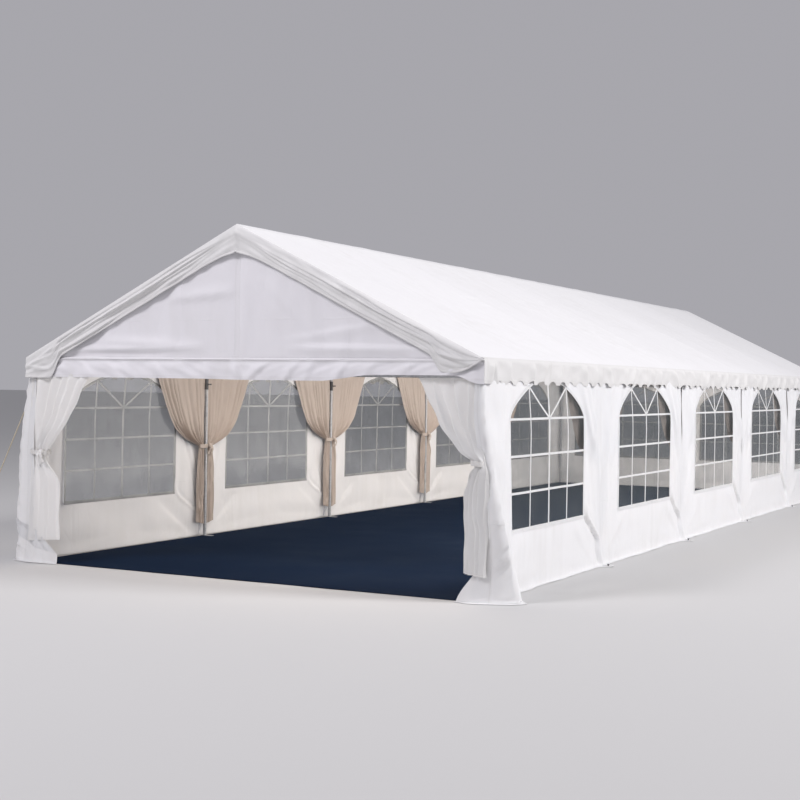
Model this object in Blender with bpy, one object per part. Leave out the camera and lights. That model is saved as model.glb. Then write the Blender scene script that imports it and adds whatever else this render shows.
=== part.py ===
"""Marquee tent, 5 m wide and 15 m long, in five bays of 3 m.

X runs across the tent, Y along the ridge with the open front at -Y, Z is up.
The origin is the middle of the floor's underside, on the ground.
"""
import math

import bmesh
import bpy
from mathutils import Matrix, Vector

COLLECTION = "marquee_tent"

# Driving sizes, in metres
WIDTH = 5.0
LENGTH = 15.0
BAY_COUNT = 5
EAVE_HEIGHT = 2.1
RIDGE_HEIGHT = 3.36

TUBE_R = 0.021
TUBE_SIDES = 16
BRACKET_HALF = 0.03
BRACKET_HEIGHT = 0.08
FOOT_LENGTH = 0.15
FOOT_T = 0.008
GUSSET_REACH = 0.10
GUSSET_HALF = 0.017
RAFTER_STOP = 0.012
APEX_REACH = 0.11
APEX_DROP = 0.09
APEX_HALF = 0.026
APEX_INSET = 0.003
TIE_R = 0.017
TIE_DROP = 0.15

GAP = 0.0003
CLOTH_T = 0.004
COVER_STANDOFF = 0.03
END_STANDOFF = 0.056
VALANCE = 0.22
FASCIA = 0.26
BAND = 0.20
WALL_TOP_DROP = 0.02
SKIRT = 0.20
RETURN = 0.16
RETURN_SKIRT = 0.12

WINDOW_HALF = 0.96
WINDOW_SILL = 0.56
WINDOW_ARCH_RISE = 0.40
WINDOW_ARCH_ROUNDNESS = 1.5
WINDOW_HEAD_DROP = 0.13
WINDOW_T = 0.002
ARCH_STEPS = 20

CARPET_T = 0.006
CURTAIN_TOP_WIDTH = 0.68
CURTAIN_TIE_DROP = 0.98
CURTAIN_TIE_WIDTH = 0.13
CURTAIN_TAIL_WIDTH = 0.32
CURTAIN_TAIL_DROP = 0.35
CURTAIN_HEM = 0.15
SWAG_TOP_HALF = 1.02
SWAG_TIE_HALF = 0.10
SWAG_TAIL_HALF = 0.16
SWAG_TAIL_DROP = 0.25
SWAG_INSET = 0.012
SWEEP_STEPS = 10
SWEEP_STRAIGHT = 0.65
SWEEP_TURN = 8

ROPE_R = 0.005
ROPE_BACK = 0.22
ROPE_DROP = 0.03
ROPE_OUT = 1.05
PEG_R = 0.012
PEG_HEIGHT = 0.06

CUT_MARGIN = 0.1

# Sizes that follow from them
BAY = LENGTH / BAY_COUNT
LEG_X = WIDTH / 2
TIE_Z = EAVE_HEIGHT - TIE_DROP
CURTAIN_TIE_Z = EAVE_HEIGHT - CURTAIN_TIE_DROP
WINDOW_TOP = EAVE_HEIGHT - WINDOW_HEAD_DROP
WINDOW_SPRING = WINDOW_TOP - WINDOW_ARCH_RISE
FRONT_Y = -LENGTH / 2
REAR_Y = LENGTH / 2
WALL_IN = LEG_X + BRACKET_HALF + GAP
WALL_OUT = WALL_IN + CLOTH_T
ROOF_HALF = WALL_OUT + COVER_STANDOFF + CLOTH_T
COVER_END = LENGTH / 2 + END_STANDOFF + CLOTH_T
SLOPE = math.atan((RIDGE_HEIGHT - EAVE_HEIGHT) / ROOF_HALF)
RAFTER_DROP = (CLOTH_T + GAP + TUBE_R) / math.cos(SLOPE)
SEAT_DROP = (2 * TUBE_R + GAP) / math.cos(SLOPE)
STRIP_OUT = BRACKET_HALF + GAP + CLOTH_T


def roof_z(x):
    """Height of the cover's outer face over a point across the tent."""
    return RIDGE_HEIGHT - abs(x) * math.tan(SLOPE)


def cover_underside(x):
    return roof_z(x) - CLOTH_T / math.cos(SLOPE)


def rafter_z(x):
    return roof_z(x) - RAFTER_DROP


EAVE_TUBE_Z = rafter_z(LEG_X) - SEAT_DROP
RIDGE_TUBE_Z = rafter_z(0) - SEAT_DROP
BRACKET_TOP = EAVE_TUBE_Z - TUBE_R - GAP
WALL_TOP = cover_underside(WALL_OUT) - WALL_TOP_DROP


def frame_y(index):
    return FRONT_Y + index * BAY


def clear_scene():
    for scene_object in list(bpy.data.objects):
        bpy.data.objects.remove(scene_object, do_unlink=True)


def new_collection(name):
    collection = bpy.data.collections.new(name)
    bpy.context.scene.collection.children.link(collection)
    return collection


def new_material(name, colour, roughness, metallic=0.0, alpha=1.0):
    material = bpy.data.materials.new(name)
    material.use_nodes = True
    shader = material.node_tree.nodes["Principled BSDF"]
    shader.inputs["Base Color"].default_value = (*colour, 1.0)
    shader.inputs["Roughness"].default_value = roughness
    shader.inputs["Metallic"].default_value = metallic
    shader.inputs["Alpha"].default_value = alpha
    return material


def place(name, mesh, collection, material=None):
    piece = bpy.data.objects.new(name, mesh)
    collection.objects.link(piece)
    if material is not None:
        mesh.materials.append(material)
    return piece


def block(name, x_range, y_range, z_range, collection, material=None):
    """A box between two limits on each axis."""
    size = [high - low for low, high in (x_range, y_range, z_range)]
    centre = [(high + low) / 2 for low, high in (x_range, y_range, z_range)]
    mesh = bpy.data.meshes.new(name)
    shape = bmesh.new()
    bmesh.ops.create_cube(shape, size=1.0, matrix=Matrix.Diagonal((*size, 1.0)))
    shape.to_mesh(mesh)
    shape.free()
    piece = place(name, mesh, collection, material)
    piece.location = centre
    return piece


def rod(name, start, end, radius, collection, material=None, sides=TUBE_SIDES):
    """A round bar with closed ends between two points."""
    start, end = Vector(start), Vector(end)
    mesh = bpy.data.meshes.new(name)
    shape = bmesh.new()
    bmesh.ops.create_cone(
        shape, cap_ends=True, segments=sides, radius1=radius, radius2=radius, depth=(end - start).length)
    shape.to_mesh(mesh)
    shape.free()
    mesh.shade_smooth()
    mesh.set_sharp_from_angle(angle=math.radians(40))
    piece = place(name, mesh, collection, material)
    piece.location = (start + end) / 2
    piece.rotation_euler = (end - start).to_track_quat("Z", "Y").to_euler()
    return piece


ACROSS = Matrix.Rotation(math.radians(90), 4, "X")
ALONG = Matrix(((0, 0, 1, 0), (1, 0, 0, 0), (0, 1, 0, 0), (0, 0, 0, 1)))


def plate(name, outline, depth, turn, location, collection, material=None):
    """A flat outline given thickness; ACROSS draws it in XZ, ALONG in YZ."""
    curve = bpy.data.curves.new(name, "CURVE")
    curve.dimensions = "2D"
    curve.fill_mode = "BOTH"
    curve.extrude = depth / 2
    spline = curve.splines.new("POLY")
    spline.points.add(len(outline) - 1)
    for point, (across, up) in zip(spline.points, outline):
        point.co = (across, up, 0, 1)
    spline.use_cyclic_u = True
    drawn = bpy.data.objects.new(name + "_outline", curve)
    collection.objects.link(drawn)
    bpy.context.view_layer.update()
    evaluated = drawn.evaluated_get(bpy.context.evaluated_depsgraph_get())
    mesh = bpy.data.meshes.new_from_object(evaluated)
    mesh.name = name
    bpy.data.objects.remove(drawn, do_unlink=True)
    shape = bmesh.new()
    shape.from_mesh(mesh)
    bmesh.ops.remove_doubles(shape, verts=shape.verts, dist=0.00005)
    shape.to_mesh(mesh)
    shape.free()
    mesh.materials.clear()
    piece = place(name, mesh, collection, material)
    piece.matrix_world = Matrix.Translation(location) @ turn
    return piece


def hide_helper(helper):
    helper.hide_render = True
    helper.display_type = "WIRE"


def combine(piece, operation, helpers):
    """Join the helpers to a piece or cut them from it."""
    for helper in helpers:
        hide_helper(helper)
        modifier = piece.modifiers.new(helper.name, "BOOLEAN")
        modifier.operation = operation
        modifier.solver = "EXACT"
        modifier.object = helper


def apex_outline():
    """The ridge fitting: a chevron over the ridge tube with a cheek on each side of it."""
    rise = (TUBE_R - APEX_INSET) / math.cos(SLOPE)
    low = rafter_z(APEX_REACH) - APEX_DROP
    notch = TUBE_R + GAP
    right = [(APEX_REACH, rafter_z(APEX_REACH) + rise), (APEX_REACH, low),
             (notch, low), (notch, rafter_z(notch) - rise)]
    left = [(-across, up) for across, up in reversed(right)]
    return [(0, rafter_z(0) + rise)] + right + [(0, rafter_z(0) - rise)] + left


def build_frame(index, name, steel):
    """Two legs on foot plates and two rafters, joined at the eaves and the apex."""
    y = frame_y(index)
    foot = rafter_z(LEG_X)
    peak = rafter_z(RAFTER_STOP)
    frame = plate(name, apex_outline(), 2 * APEX_HALF, ACROSS, (0, y, 0), PARTS, steel)
    joined = []
    for side in (-1, 1):
        tag = name + ("_left" if side < 0 else "_right")
        outer = side * (LEG_X + BRACKET_HALF)
        joined.append(rod(tag + "_rafter", (side * LEG_X, y, foot), (side * RAFTER_STOP, y, peak),
                          TUBE_R, CUTTERS))
        joined.append(rod(tag + "_leg", (side * LEG_X, y, FOOT_T / 2),
                          (side * LEG_X, y, BRACKET_TOP - BRACKET_HEIGHT / 2), TUBE_R, CUTTERS))
        joined.append(block(tag + "_bracket", sorted((outer, outer - side * 2 * BRACKET_HALF)),
                            (y - BRACKET_HALF, y + BRACKET_HALF),
                            (BRACKET_TOP - BRACKET_HEIGHT, BRACKET_TOP), CUTTERS))
        joined.append(block(tag + "_foot", sorted((outer, outer - side * FOOT_LENGTH)),
                            (y - BRACKET_HALF, y + BRACKET_HALF), (0, FOOT_T), CUTTERS))
        gusset_in = side * (LEG_X - GUSSET_REACH)
        gusset_out = side * (LEG_X - TUBE_R - GAP)
        joined.append(block(tag + "_gusset", sorted((gusset_in, gusset_out)),
                            (y - GUSSET_HALF, y + GUSSET_HALF),
                            (BRACKET_TOP - BRACKET_HEIGHT / 2, rafter_z(LEG_X - GUSSET_REACH / 2)), CUTTERS))
    if index in (0, BAY_COUNT):
        joined.append(rod(name + "_tie", (-LEG_X, y, TIE_Z), (LEG_X, y, TIE_Z), TIE_R, CUTTERS))
    combine(frame, "UNION", joined)


def build_cover(cloth):
    """One sheet over both slopes, with a valance at each eave and a fascia at each end."""
    low = EAVE_HEIGHT - VALANCE
    outer = [(-ROOF_HALF, low), (-ROOF_HALF, EAVE_HEIGHT), (0, RIDGE_HEIGHT), (ROOF_HALF, EAVE_HEIGHT), (ROOF_HALF, low)]
    inner_half = ROOF_HALF - CLOTH_T
    inner = [(-inner_half, low - CUT_MARGIN), (-inner_half, cover_underside(inner_half)),
             (0, cover_underside(0)),
             (inner_half, cover_underside(inner_half)), (inner_half, low - CUT_MARGIN)]
    peak = RIDGE_HEIGHT - FASCIA
    gable_half = (peak - low + CUT_MARGIN) / math.tan(SLOPE)
    gable = [(-gable_half, low - CUT_MARGIN), (0, peak), (gable_half, low - CUT_MARGIN)]
    cover = plate("roof_cover", outer, 2 * COVER_END, ACROSS, (0, 0, 0), PARTS, cloth)
    hollow = plate("roof_cover_hollow", inner, 2 * (COVER_END - CLOTH_T), ACROSS, (0, 0, 0), CUTTERS)
    ends = plate("roof_cover_ends", gable, 2 * COVER_END + CUT_MARGIN, ACROSS, (0, 0, 0), CUTTERS)
    combine(cover, "DIFFERENCE", [hollow, ends])


def build_gable(name, end, cloth):
    """The triangle under the roof's end, with its band hanging below the eaves."""
    half = ROOF_HALF - CLOTH_T - GAP
    seat = GAP / math.cos(SLOPE)
    outline = [(-half, EAVE_HEIGHT - BAND), (-half, cover_underside(half) - seat),
               (0, cover_underside(0) - seat),
               (half, cover_underside(half) - seat), (half, EAVE_HEIGHT - BAND)]
    y = end * (LENGTH / 2 + STRIP_OUT + GAP + CLOTH_T / 2)
    plate(name, outline, CLOTH_T, ACROSS, (0, y, 0), PARTS, cloth)


def window_outline(inset):
    """A church window: straight sides and an arch over them, a little leaner than half an ellipse."""
    half = WINDOW_HALF - inset
    rise = WINDOW_TOP - WINDOW_SPRING - inset
    power = 2 / WINDOW_ARCH_ROUNDNESS
    outline = [(-half, WINDOW_SILL + inset), (half, WINDOW_SILL + inset)]
    for step in range(ARCH_STEPS + 1):
        angle = math.pi * step / ARCH_STEPS
        across = math.copysign(abs(math.cos(angle)) ** power, math.cos(angle))
        outline.append((half * across, WINDOW_SPRING + rise * abs(math.sin(angle)) ** power))
    return outline


def build_side_wall(side, index, cloth, clear):
    """One wall panel with its window and its ground flap, in one bay."""
    tag = ("left_" if side < 0 else "right_") + str(index + 1)
    y_low = frame_y(index) + GAP / 2
    y_high = frame_y(index + 1) - GAP / 2
    first = index == 0
    if first:
        y_low = FRONT_Y - STRIP_OUT
    if index == BAY_COUNT - 1:
        y_high = REAR_Y + BRACKET_HALF
    wall = block("wall_" + tag, sorted((side * WALL_IN, side * WALL_OUT)), (y_low, y_high),
                 (0, WALL_TOP), PARTS, cloth)
    joined = [block("wall_" + tag + "_flap", sorted((side * WALL_IN, side * (WALL_OUT + SKIRT))),
                    (y_low, y_high), (0, CLOTH_T), CUTTERS)]
    if first:
        inner = WALL_OUT - RETURN
        strip = sorted((side * inner, side * WALL_OUT))
        joined.append(block("wall_" + tag + "_return", strip, (y_low, y_low + CLOTH_T),
                            (0, WALL_TOP), CUTTERS))
        joined.append(block("wall_" + tag + "_return_flap", sorted((side * inner, side * (WALL_OUT + SKIRT))),
                            (y_low - RETURN_SKIRT, y_low + CLOTH_T), (0, CLOTH_T), CUTTERS))
    combine(wall, "UNION", joined)
    middle = frame_y(index) + BAY / 2
    x = side * (WALL_IN + CLOTH_T / 2)
    hole = plate("wall_" + tag + "_hole", window_outline(0), 3 * CLOTH_T, ALONG, (x, middle, 0), CUTTERS)
    combine(wall, "DIFFERENCE", [hole])
    plate("window_" + tag, window_outline(GAP), WINDOW_T, ALONG, (x, middle, 0), PARTS, clear)


def build_rear_wall(cloth, clear):
    """The end wall, with a window like those of the sides in each half."""
    y = REAR_Y + BRACKET_HALF + GAP
    wall = block("wall_rear", (-WALL_OUT, WALL_OUT), (y, y + CLOTH_T), (0, WALL_TOP), PARTS, cloth)
    flap = block("wall_rear_flap", (-WALL_OUT - SKIRT, WALL_OUT + SKIRT), (y, y + CLOTH_T + SKIRT),
                 (0, CLOTH_T), CUTTERS)
    combine(wall, "UNION", [flap])
    holes = []
    for name, x in (("left", -WIDTH / 4), ("right", WIDTH / 4)):
        place = (x, y + CLOTH_T / 2, 0)
        holes.append(plate("rear_hole_" + name, window_outline(0), 3 * CLOTH_T, ACROSS, place, CUTTERS))
        plate("window_rear_" + name, window_outline(GAP), WINDOW_T, ACROSS, place, PARTS, clear)
    combine(wall, "DIFFERENCE", holes)


def sweep(start, end, steps):
    """Points along a tied edge that runs nearly straight, then turns in sharply to its tie."""
    points = []
    for step in range(1, steps):
        t = step / steps
        drawn_in = SWEEP_STRAIGHT * t + (1 - SWEEP_STRAIGHT) * t ** SWEEP_TURN
        width = start[0] + (end[0] - start[0]) * drawn_in
        points.append((width, start[1] + (end[1] - start[1]) * t))
    return points


def build_front_curtain(side, name, cloth):
    """A door curtain, wide at the top, tied in at the corner leg and hanging to its hem."""
    outer = LEG_X - BRACKET_HALF - GAP
    top = TIE_Z - TIE_R - GAP
    inner_top = outer - CURTAIN_TOP_WIDTH
    inner_tie = outer - CURTAIN_TIE_WIDTH
    inner_tail = outer - CURTAIN_TAIL_WIDTH
    outline = [(outer, CURTAIN_HEM), (outer, top), (inner_top, top)]
    outline += sweep((inner_top, top), (inner_tie, CURTAIN_TIE_Z), SWEEP_STEPS)
    outline += [(inner_tie, CURTAIN_TIE_Z), (inner_tail, CURTAIN_TIE_Z - CURTAIN_TAIL_DROP), (inner_tail, CURTAIN_HEM)]
    outline = [(side * across, up) for across, up in outline]
    plate(name, outline, 2 * BRACKET_HALF, ACROSS, (0, FRONT_Y, 0), PARTS, cloth)


def build_swag(side, index, cloth):
    """A pair of curtains behind one leg, tied to it at half height."""
    name = "swag_" + ("left_" if side < 0 else "right_") + str(index + 1)
    top = EAVE_TUBE_Z - TUBE_R - GAP
    tie = (SWAG_TIE_HALF, CURTAIN_TIE_Z)
    half = [(SWAG_TOP_HALF, top)]
    half += sweep((SWAG_TOP_HALF, top), tie, SWEEP_STEPS)
    half += [tie, (SWAG_TAIL_HALF, CURTAIN_TIE_Z - SWAG_TAIL_DROP), (SWAG_TAIL_HALF, CURTAIN_HEM)]
    outline = half + [(-across, up) for across, up in reversed(half)]
    inner = LEG_X - SWAG_INSET
    outer = WALL_IN - GAP
    y = frame_y(index)
    swag = plate(name, outline, outer - inner, ALONG, (side * (inner + outer) / 2, y, 0), PARTS, cloth)
    leg = rod(name + "_leg", (side * LEG_X, y, 0), (side * LEG_X, y, BRACKET_TOP), TUBE_R + GAP, CUTTERS)
    reach = BRACKET_HALF + GAP
    bracket = block(name + "_bracket", sorted((side * (LEG_X - reach), side * (LEG_X + reach))),
                    (y - reach, y + reach), (BRACKET_TOP - BRACKET_HEIGHT - GAP, BRACKET_TOP + CUT_MARGIN), CUTTERS)
    combine(swag, "DIFFERENCE", [leg, bracket])


def build_carpet(carpet_cloth):
    half = WALL_IN - GAP
    y_half = LENGTH / 2 + BRACKET_HALF
    carpet = block("floor_carpet", (-half, half), (-y_half, y_half), (0, CARPET_T), PARTS, carpet_cloth)
    cuts = []
    inner = LEG_X + BRACKET_HALF - FOOT_LENGTH - GAP
    reach = BRACKET_HALF + GAP
    for index in range(BAY_COUNT + 1):
        for side in (-1, 1):
            y = frame_y(index)
            cuts.append(block("carpet_notch", sorted((side * inner, side * (half + CUT_MARGIN))),
                              (y - reach, y + reach), (-CUT_MARGIN, CUT_MARGIN), CUTTERS))
    combine(carpet, "DIFFERENCE", cuts)


def build_guy_rope(name, cord):
    """The taut rope at the front left corner, from the eave down to its peg."""
    y = FRONT_Y + ROPE_BACK
    start = (-(ROOF_HALF + GAP + ROPE_R), y, EAVE_HEIGHT - ROPE_DROP)
    foot = (-(ROOF_HALF + ROPE_OUT), y, PEG_HEIGHT / 2)
    rope = rod(name, start, foot, ROPE_R, PARTS, cord, sides=8)
    peg = rod(name + "_peg", (foot[0], y, 0), (foot[0], y, PEG_HEIGHT), PEG_R, CUTTERS, sides=12)
    combine(rope, "UNION", [peg])


clear_scene()
PARTS = new_collection(COLLECTION)
CUTTERS = new_collection("cutters")

STEEL = new_material("galvanised_steel", (0.33, 0.34, 0.35), 0.45, metallic=0.9)
ROOF_CLOTH = new_material("roof_cloth", (0.90, 0.90, 0.92), 0.45)
WALL_CLOTH = new_material("wall_cloth", (0.86, 0.86, 0.87), 0.50)
GABLE_CLOTH = new_material("gable_cloth", (0.84, 0.84, 0.87), 0.50)
CLEAR_SHEET = new_material("clear_sheet", (0.75, 0.80, 0.80), 0.12, alpha=0.35)
CURTAIN_CLOTH = new_material("curtain_cloth", (0.85, 0.82, 0.80), 0.60)
SWAG_CLOTH = new_material("swag_cloth", (0.86, 0.78, 0.72), 0.65)
CARPET = new_material("carpet", (0.03, 0.05, 0.13), 0.95)
CORD = new_material("cord", (0.75, 0.68, 0.50), 0.80)

for number in range(BAY_COUNT + 1):
    frame_name = {0: "frame_front", BAY_COUNT: "frame_rear"}.get(number, "frame_" + str(number + 1))
    build_frame(number, frame_name, STEEL)

TUBE_END = LENGTH / 2 + BRACKET_HALF
rod("ridge_tube", (0, -TUBE_END, RIDGE_TUBE_Z), (0, TUBE_END, RIDGE_TUBE_Z), TUBE_R, PARTS, STEEL)
for eave_name, eave_x in (("eave_tube_left", -LEG_X), ("eave_tube_right", LEG_X)):
    rod(eave_name, (eave_x, -TUBE_END, EAVE_TUBE_Z), (eave_x, TUBE_END, EAVE_TUBE_Z), TUBE_R, PARTS, STEEL)

build_cover(ROOF_CLOTH)
build_gable("gable_front", -1, GABLE_CLOTH)
build_gable("gable_rear", 1, GABLE_CLOTH)

for wall_side in (-1, 1):
    for bay_index in range(BAY_COUNT):
        build_side_wall(wall_side, bay_index, WALL_CLOTH, CLEAR_SHEET)
    for leg_index in range(1, BAY_COUNT):
        build_swag(wall_side, leg_index, SWAG_CLOTH)
build_rear_wall(WALL_CLOTH, CLEAR_SHEET)

build_front_curtain(-1, "curtain_front_left", CURTAIN_CLOTH)
build_front_curtain(1, "curtain_front_right", CURTAIN_CLOTH)
build_carpet(CARPET)
build_guy_rope("guy_rope", CORD)
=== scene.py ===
import math

import bpy
import numpy as np
from mathutils import Matrix, Vector


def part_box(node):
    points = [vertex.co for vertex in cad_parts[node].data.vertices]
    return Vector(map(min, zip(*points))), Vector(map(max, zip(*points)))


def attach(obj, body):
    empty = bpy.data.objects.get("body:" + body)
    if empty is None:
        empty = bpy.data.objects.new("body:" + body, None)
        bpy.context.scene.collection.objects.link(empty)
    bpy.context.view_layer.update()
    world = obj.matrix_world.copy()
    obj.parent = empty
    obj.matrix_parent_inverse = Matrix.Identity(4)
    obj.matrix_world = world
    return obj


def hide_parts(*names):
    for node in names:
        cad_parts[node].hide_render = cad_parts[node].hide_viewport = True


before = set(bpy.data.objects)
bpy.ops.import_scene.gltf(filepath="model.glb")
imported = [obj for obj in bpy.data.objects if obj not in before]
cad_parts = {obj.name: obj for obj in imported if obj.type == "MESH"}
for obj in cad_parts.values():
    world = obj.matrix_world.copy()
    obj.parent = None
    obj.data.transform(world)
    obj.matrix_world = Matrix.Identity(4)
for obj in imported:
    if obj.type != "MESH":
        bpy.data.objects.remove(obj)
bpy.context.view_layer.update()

# Camera and studio
# A long lens a little over head height, off the tent's right front corner. The floor is pale and
# plain, with one large soft light high on the right and a weaker one in front. Two glows stand for
# the daylight that comes in through the roof and the walls.
CAMERA_PLACE = (7.486, -18.528, 1.852)
CAMERA_TURN = 0.48115
CAMERA_TILT = -0.0096
CAMERA_ROLL = 0.01456
LENS_MM = 63.0
SENSOR_MM = 36.0
SIGHT = 400.0
FLOOR_COLOUR = (0.56, 0.56, 0.56, 1)
FLOOR_ROUGHNESS = 0.9
FLOOR_HEIGHT = -0.002
SKY_COLOUR = (0.78, 0.77, 0.83, 1)
SKY_STRENGTH = 0.50

camera_data = bpy.data.cameras.new("camera")
camera_data.lens = LENS_MM
camera_data.sensor_width = SENSOR_MM
camera_data.clip_end = SIGHT
camera = bpy.data.objects.new("camera", camera_data)
bpy.context.scene.collection.objects.link(camera)
camera.matrix_world = (Matrix.Translation(CAMERA_PLACE) @ Matrix.Rotation(CAMERA_TURN, 4, "Z")
                       @ Matrix.Rotation(math.pi / 2 + CAMERA_TILT, 4, "X")
                       @ Matrix.Rotation(CAMERA_ROLL, 4, "Z"))
bpy.context.scene.camera = camera
bpy.context.scene.view_settings.view_transform = "Standard"


def set_inputs(tree, node, values):
    """Sets a node's inputs, or joins them where the value is another node's output."""
    for name, value in values.items():
        if isinstance(value, bpy.types.NodeSocket):
            tree.links.new(value, node.inputs[name])
        else:
            node.inputs[name].default_value = value


def new_material(name):
    material = bpy.data.materials.new(name)
    material.use_nodes = True
    return material, material.node_tree, material.node_tree.nodes["Principled BSDF"]


def coat(piece, name, material):
    """Names a piece and makes this its one material."""
    piece.name = name
    piece.data.materials.clear()
    piece.data.materials.append(material)
    return piece


def let_go():
    bpy.ops.object.select_all(action="DESELECT")


def apply_place():
    bpy.ops.object.transform_apply(location=True, rotation=True, scale=True)


def hang_light(name, place, target, size, power, colour):
    """A soft light at one place, turned to face another."""
    lamp = bpy.data.lights.new(name, "AREA")
    lamp.shape = "RECTANGLE"
    lamp.size = size[0]
    lamp.size_y = size[1]
    lamp.energy = power
    lamp.color = colour
    held = bpy.data.objects.new(name, lamp)
    held.location = place
    held.rotation_euler = (Vector(target) - Vector(place)).to_track_quat("-Z", "Y").to_euler()
    held.visible_camera = False
    bpy.context.scene.collection.objects.link(held)


hang_light("key_light", (20, -2, 15), (0, 0, 1.0), (6, 6), 4200, (1.0, 0.975, 0.975))
hang_light("front_light", (-5, -17, 13), (0, -6, 1.5), (4, 4), 1230, (1.0, 0.97, 1.0))
hang_light("roof_glow", (0, 0, 2.62), (0, 0.001, 0), (2.8, 14.4), 215, (1.0, 0.88, 0.76))
hang_light("wall_glow", (2.44, 0.6, 0.95), (-2.5, 0.6, 0.5), (13.0, 1.5), 205, (1.0, 0.96, 0.93))

sky = bpy.data.worlds.new("studio")
sky.use_nodes = True
set_inputs(sky.node_tree, sky.node_tree.nodes["Background"], {"Color": SKY_COLOUR, "Strength": SKY_STRENGTH})
bpy.context.scene.world = sky

let_go()
bpy.ops.mesh.primitive_plane_add(size=SIGHT, location=(0, 0, FLOOR_HEIGHT))
apply_place()
floor_paint, tree, shader = new_material("studio_floor")
set_inputs(tree, shader, {"Base Color": FLOOR_COLOUR, "Roughness": FLOOR_ROUGHNESS})
coat(bpy.context.object, "studio_floor", floor_paint)

# Roof cover
# One sheet of white coated cloth over both slopes, pulled tight over the rafters. It turns down over
# the end rafters as a fascia. A valance with a scalloped lower edge is sewn on along both eaves.
ROOF_LOW, ROOF_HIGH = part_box("roof_cover")
ROOF_HALF, COVER_END, RIDGE_HEIGHT = ROOF_HIGH
VALANCE_LOW = ROOF_LOW[2]
EAVE_HEIGHT = 2.1
SLOPE_RISE = (RIDGE_HEIGHT - EAVE_HEIGHT) / ROOF_HALF
SLOPE_ANGLE = math.atan(SLOPE_RISE)
CLOTH = 0.002
SMOOTH_BELOW = math.radians(75)
SEAM_LAP = 0.03
CORNER_SEAM = 0.004
WELD_SPACING = 1.5
CLOTH_WHITE = (0.85, 0.85, 0.86, 1)
CLOTH_DUST = (0.60, 0.59, 0.56, 1)
FRAME_NODES = ("frame_front", "frame_2", "frame_3", "frame_4", "frame_5", "frame_rear")


def middle_y(node):
    low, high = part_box(node)
    return (low[1] + high[1]) / 2


FRAME_YS = [middle_y(node) for node in FRAME_NODES]
BAY = FRAME_YS[1] - FRAME_YS[0]


def grid_sheet(name, columns, rows):
    """A new grid, with how far across and how far along it each point lies, from 0 to 1."""
    let_go()
    bpy.ops.mesh.primitive_grid_add(x_subdivisions=columns, y_subdivisions=rows, size=2.0)
    sheet = bpy.context.object
    sheet.name = name
    sheet.data.name = name
    points = np.empty(len(sheet.data.vertices) * 3)
    sheet.data.vertices.foreach_get("co", points)
    points = points.reshape(-1, 3)
    return sheet, points[:, 0] / 2 + 0.5, points[:, 1] / 2 + 0.5


def mark(sheet, name, values):
    """Keeps a number for each of a sheet's points: how far off a cut edge is, or how much painted shade
    darkens it.
    """
    kept = sheet.data.attributes.new(name, "FLOAT", "POINT")
    kept.data.foreach_set("value", np.broadcast_to(values, len(sheet.data.vertices)).astype(np.float32))


def shape_sheet(sheet, place, across, along, edge):
    """Moves the grid's points to their places. Their places on the flat cloth go in the UV map, in
    metres, and the distance to the nearest cut edge in an attribute."""
    points = np.stack(np.broadcast_arrays(*place), axis=1).astype(float)
    sheet.data.vertices.foreach_set("co", points.ravel())
    corners = np.empty(len(sheet.data.loops), dtype=int)
    sheet.data.loops.foreach_get("vertex_index", corners)
    flat = np.stack(np.broadcast_arrays(across, along), axis=1)[corners]
    sheet.data.uv_layers[0].data.foreach_set("uv", flat.ravel())
    mark(sheet, "hem", edge)
    sheet.data.update()


def pick(pieces):
    """Selects these pieces alone, with the first of them active."""
    let_go()
    for piece in pieces:
        piece.select_set(True)
    bpy.context.view_layer.objects.active = pieces[0]


def join_pieces(pieces):
    pick(pieces)
    if len(pieces) > 1:
        bpy.ops.object.join()
    return pieces[0]


def apply_modifier(piece, kind, **settings):
    """Gives the active piece a modifier with these settings, and makes it part of the mesh."""
    added = piece.modifiers.new("shaping", kind)
    for name, value in settings.items():
        setattr(added, name, value)
    bpy.ops.object.modifier_apply(modifier=added.name)


def finish_sheet(pieces, name, material, thickness=CLOTH):
    """Joins sheets that are sewn together, and gives the result its thickness and its cloth."""
    sheet = join_pieces(pieces)
    apply_modifier(sheet, "SOLIDIFY", thickness=thickness, offset=0.0)
    bpy.ops.object.shade_smooth_by_angle(angle=SMOOTH_BELOW)
    return coat(sheet, name, material)


def uneven(a, b, seed, size):
    """Smooth uneven waves over a surface, mostly between -1 and 1; size is one wave's length."""
    draws = np.random.default_rng(seed)
    total = 0.0
    for _ in range(7):
        turn, phase = draws.uniform(0, 2 * math.pi, 2)
        pace = draws.uniform(0.7, 1.7) * 2 * math.pi / size
        total = total + np.sin(pace * (a * math.cos(turn) + b * math.sin(turn)) + phase)
    return total / 3.6


def fade(value, low, high):
    """0 below low, 1 above high, and smooth between them."""
    t = np.clip((value - low) / (high - low), 0.0, 1.0)
    return t * t * (3 - 2 * t)


def hump(off, width):
    """1 on a line and dying out on both sides of it."""
    return np.exp(-(off / width) ** 2)


def pulled_fold(a, b, start, end, width):
    """A fold, 1 along its top, pulled straight from one point of the sheet to another. It is sharp
    on its right side and soft on its left, and it dies out at both ends."""
    run_a, run_b = end[0] - start[0], end[1] - start[1]
    length = math.hypot(run_a, run_b)
    part = ((a - start[0]) * run_a + (b - start[1]) * run_b) / length ** 2
    off = ((a - start[0]) * run_b - (b - start[1]) * run_a) / length
    spread = np.where(off > 0, width, 2.6 * width)
    return hump(off, spread) * np.clip(4 * part * (1 - part), 0, 1) ** 0.6


def roof_height(x):
    return RIDGE_HEIGHT - np.abs(x) * SLOPE_RISE


def add_node(tree, kind, values, **settings):
    """Adds one shader node, and sets or joins its inputs."""
    made = tree.nodes.new(kind)
    for name, value in settings.items():
        setattr(made, name, value)
    set_inputs(tree, made, values)
    return made


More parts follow.
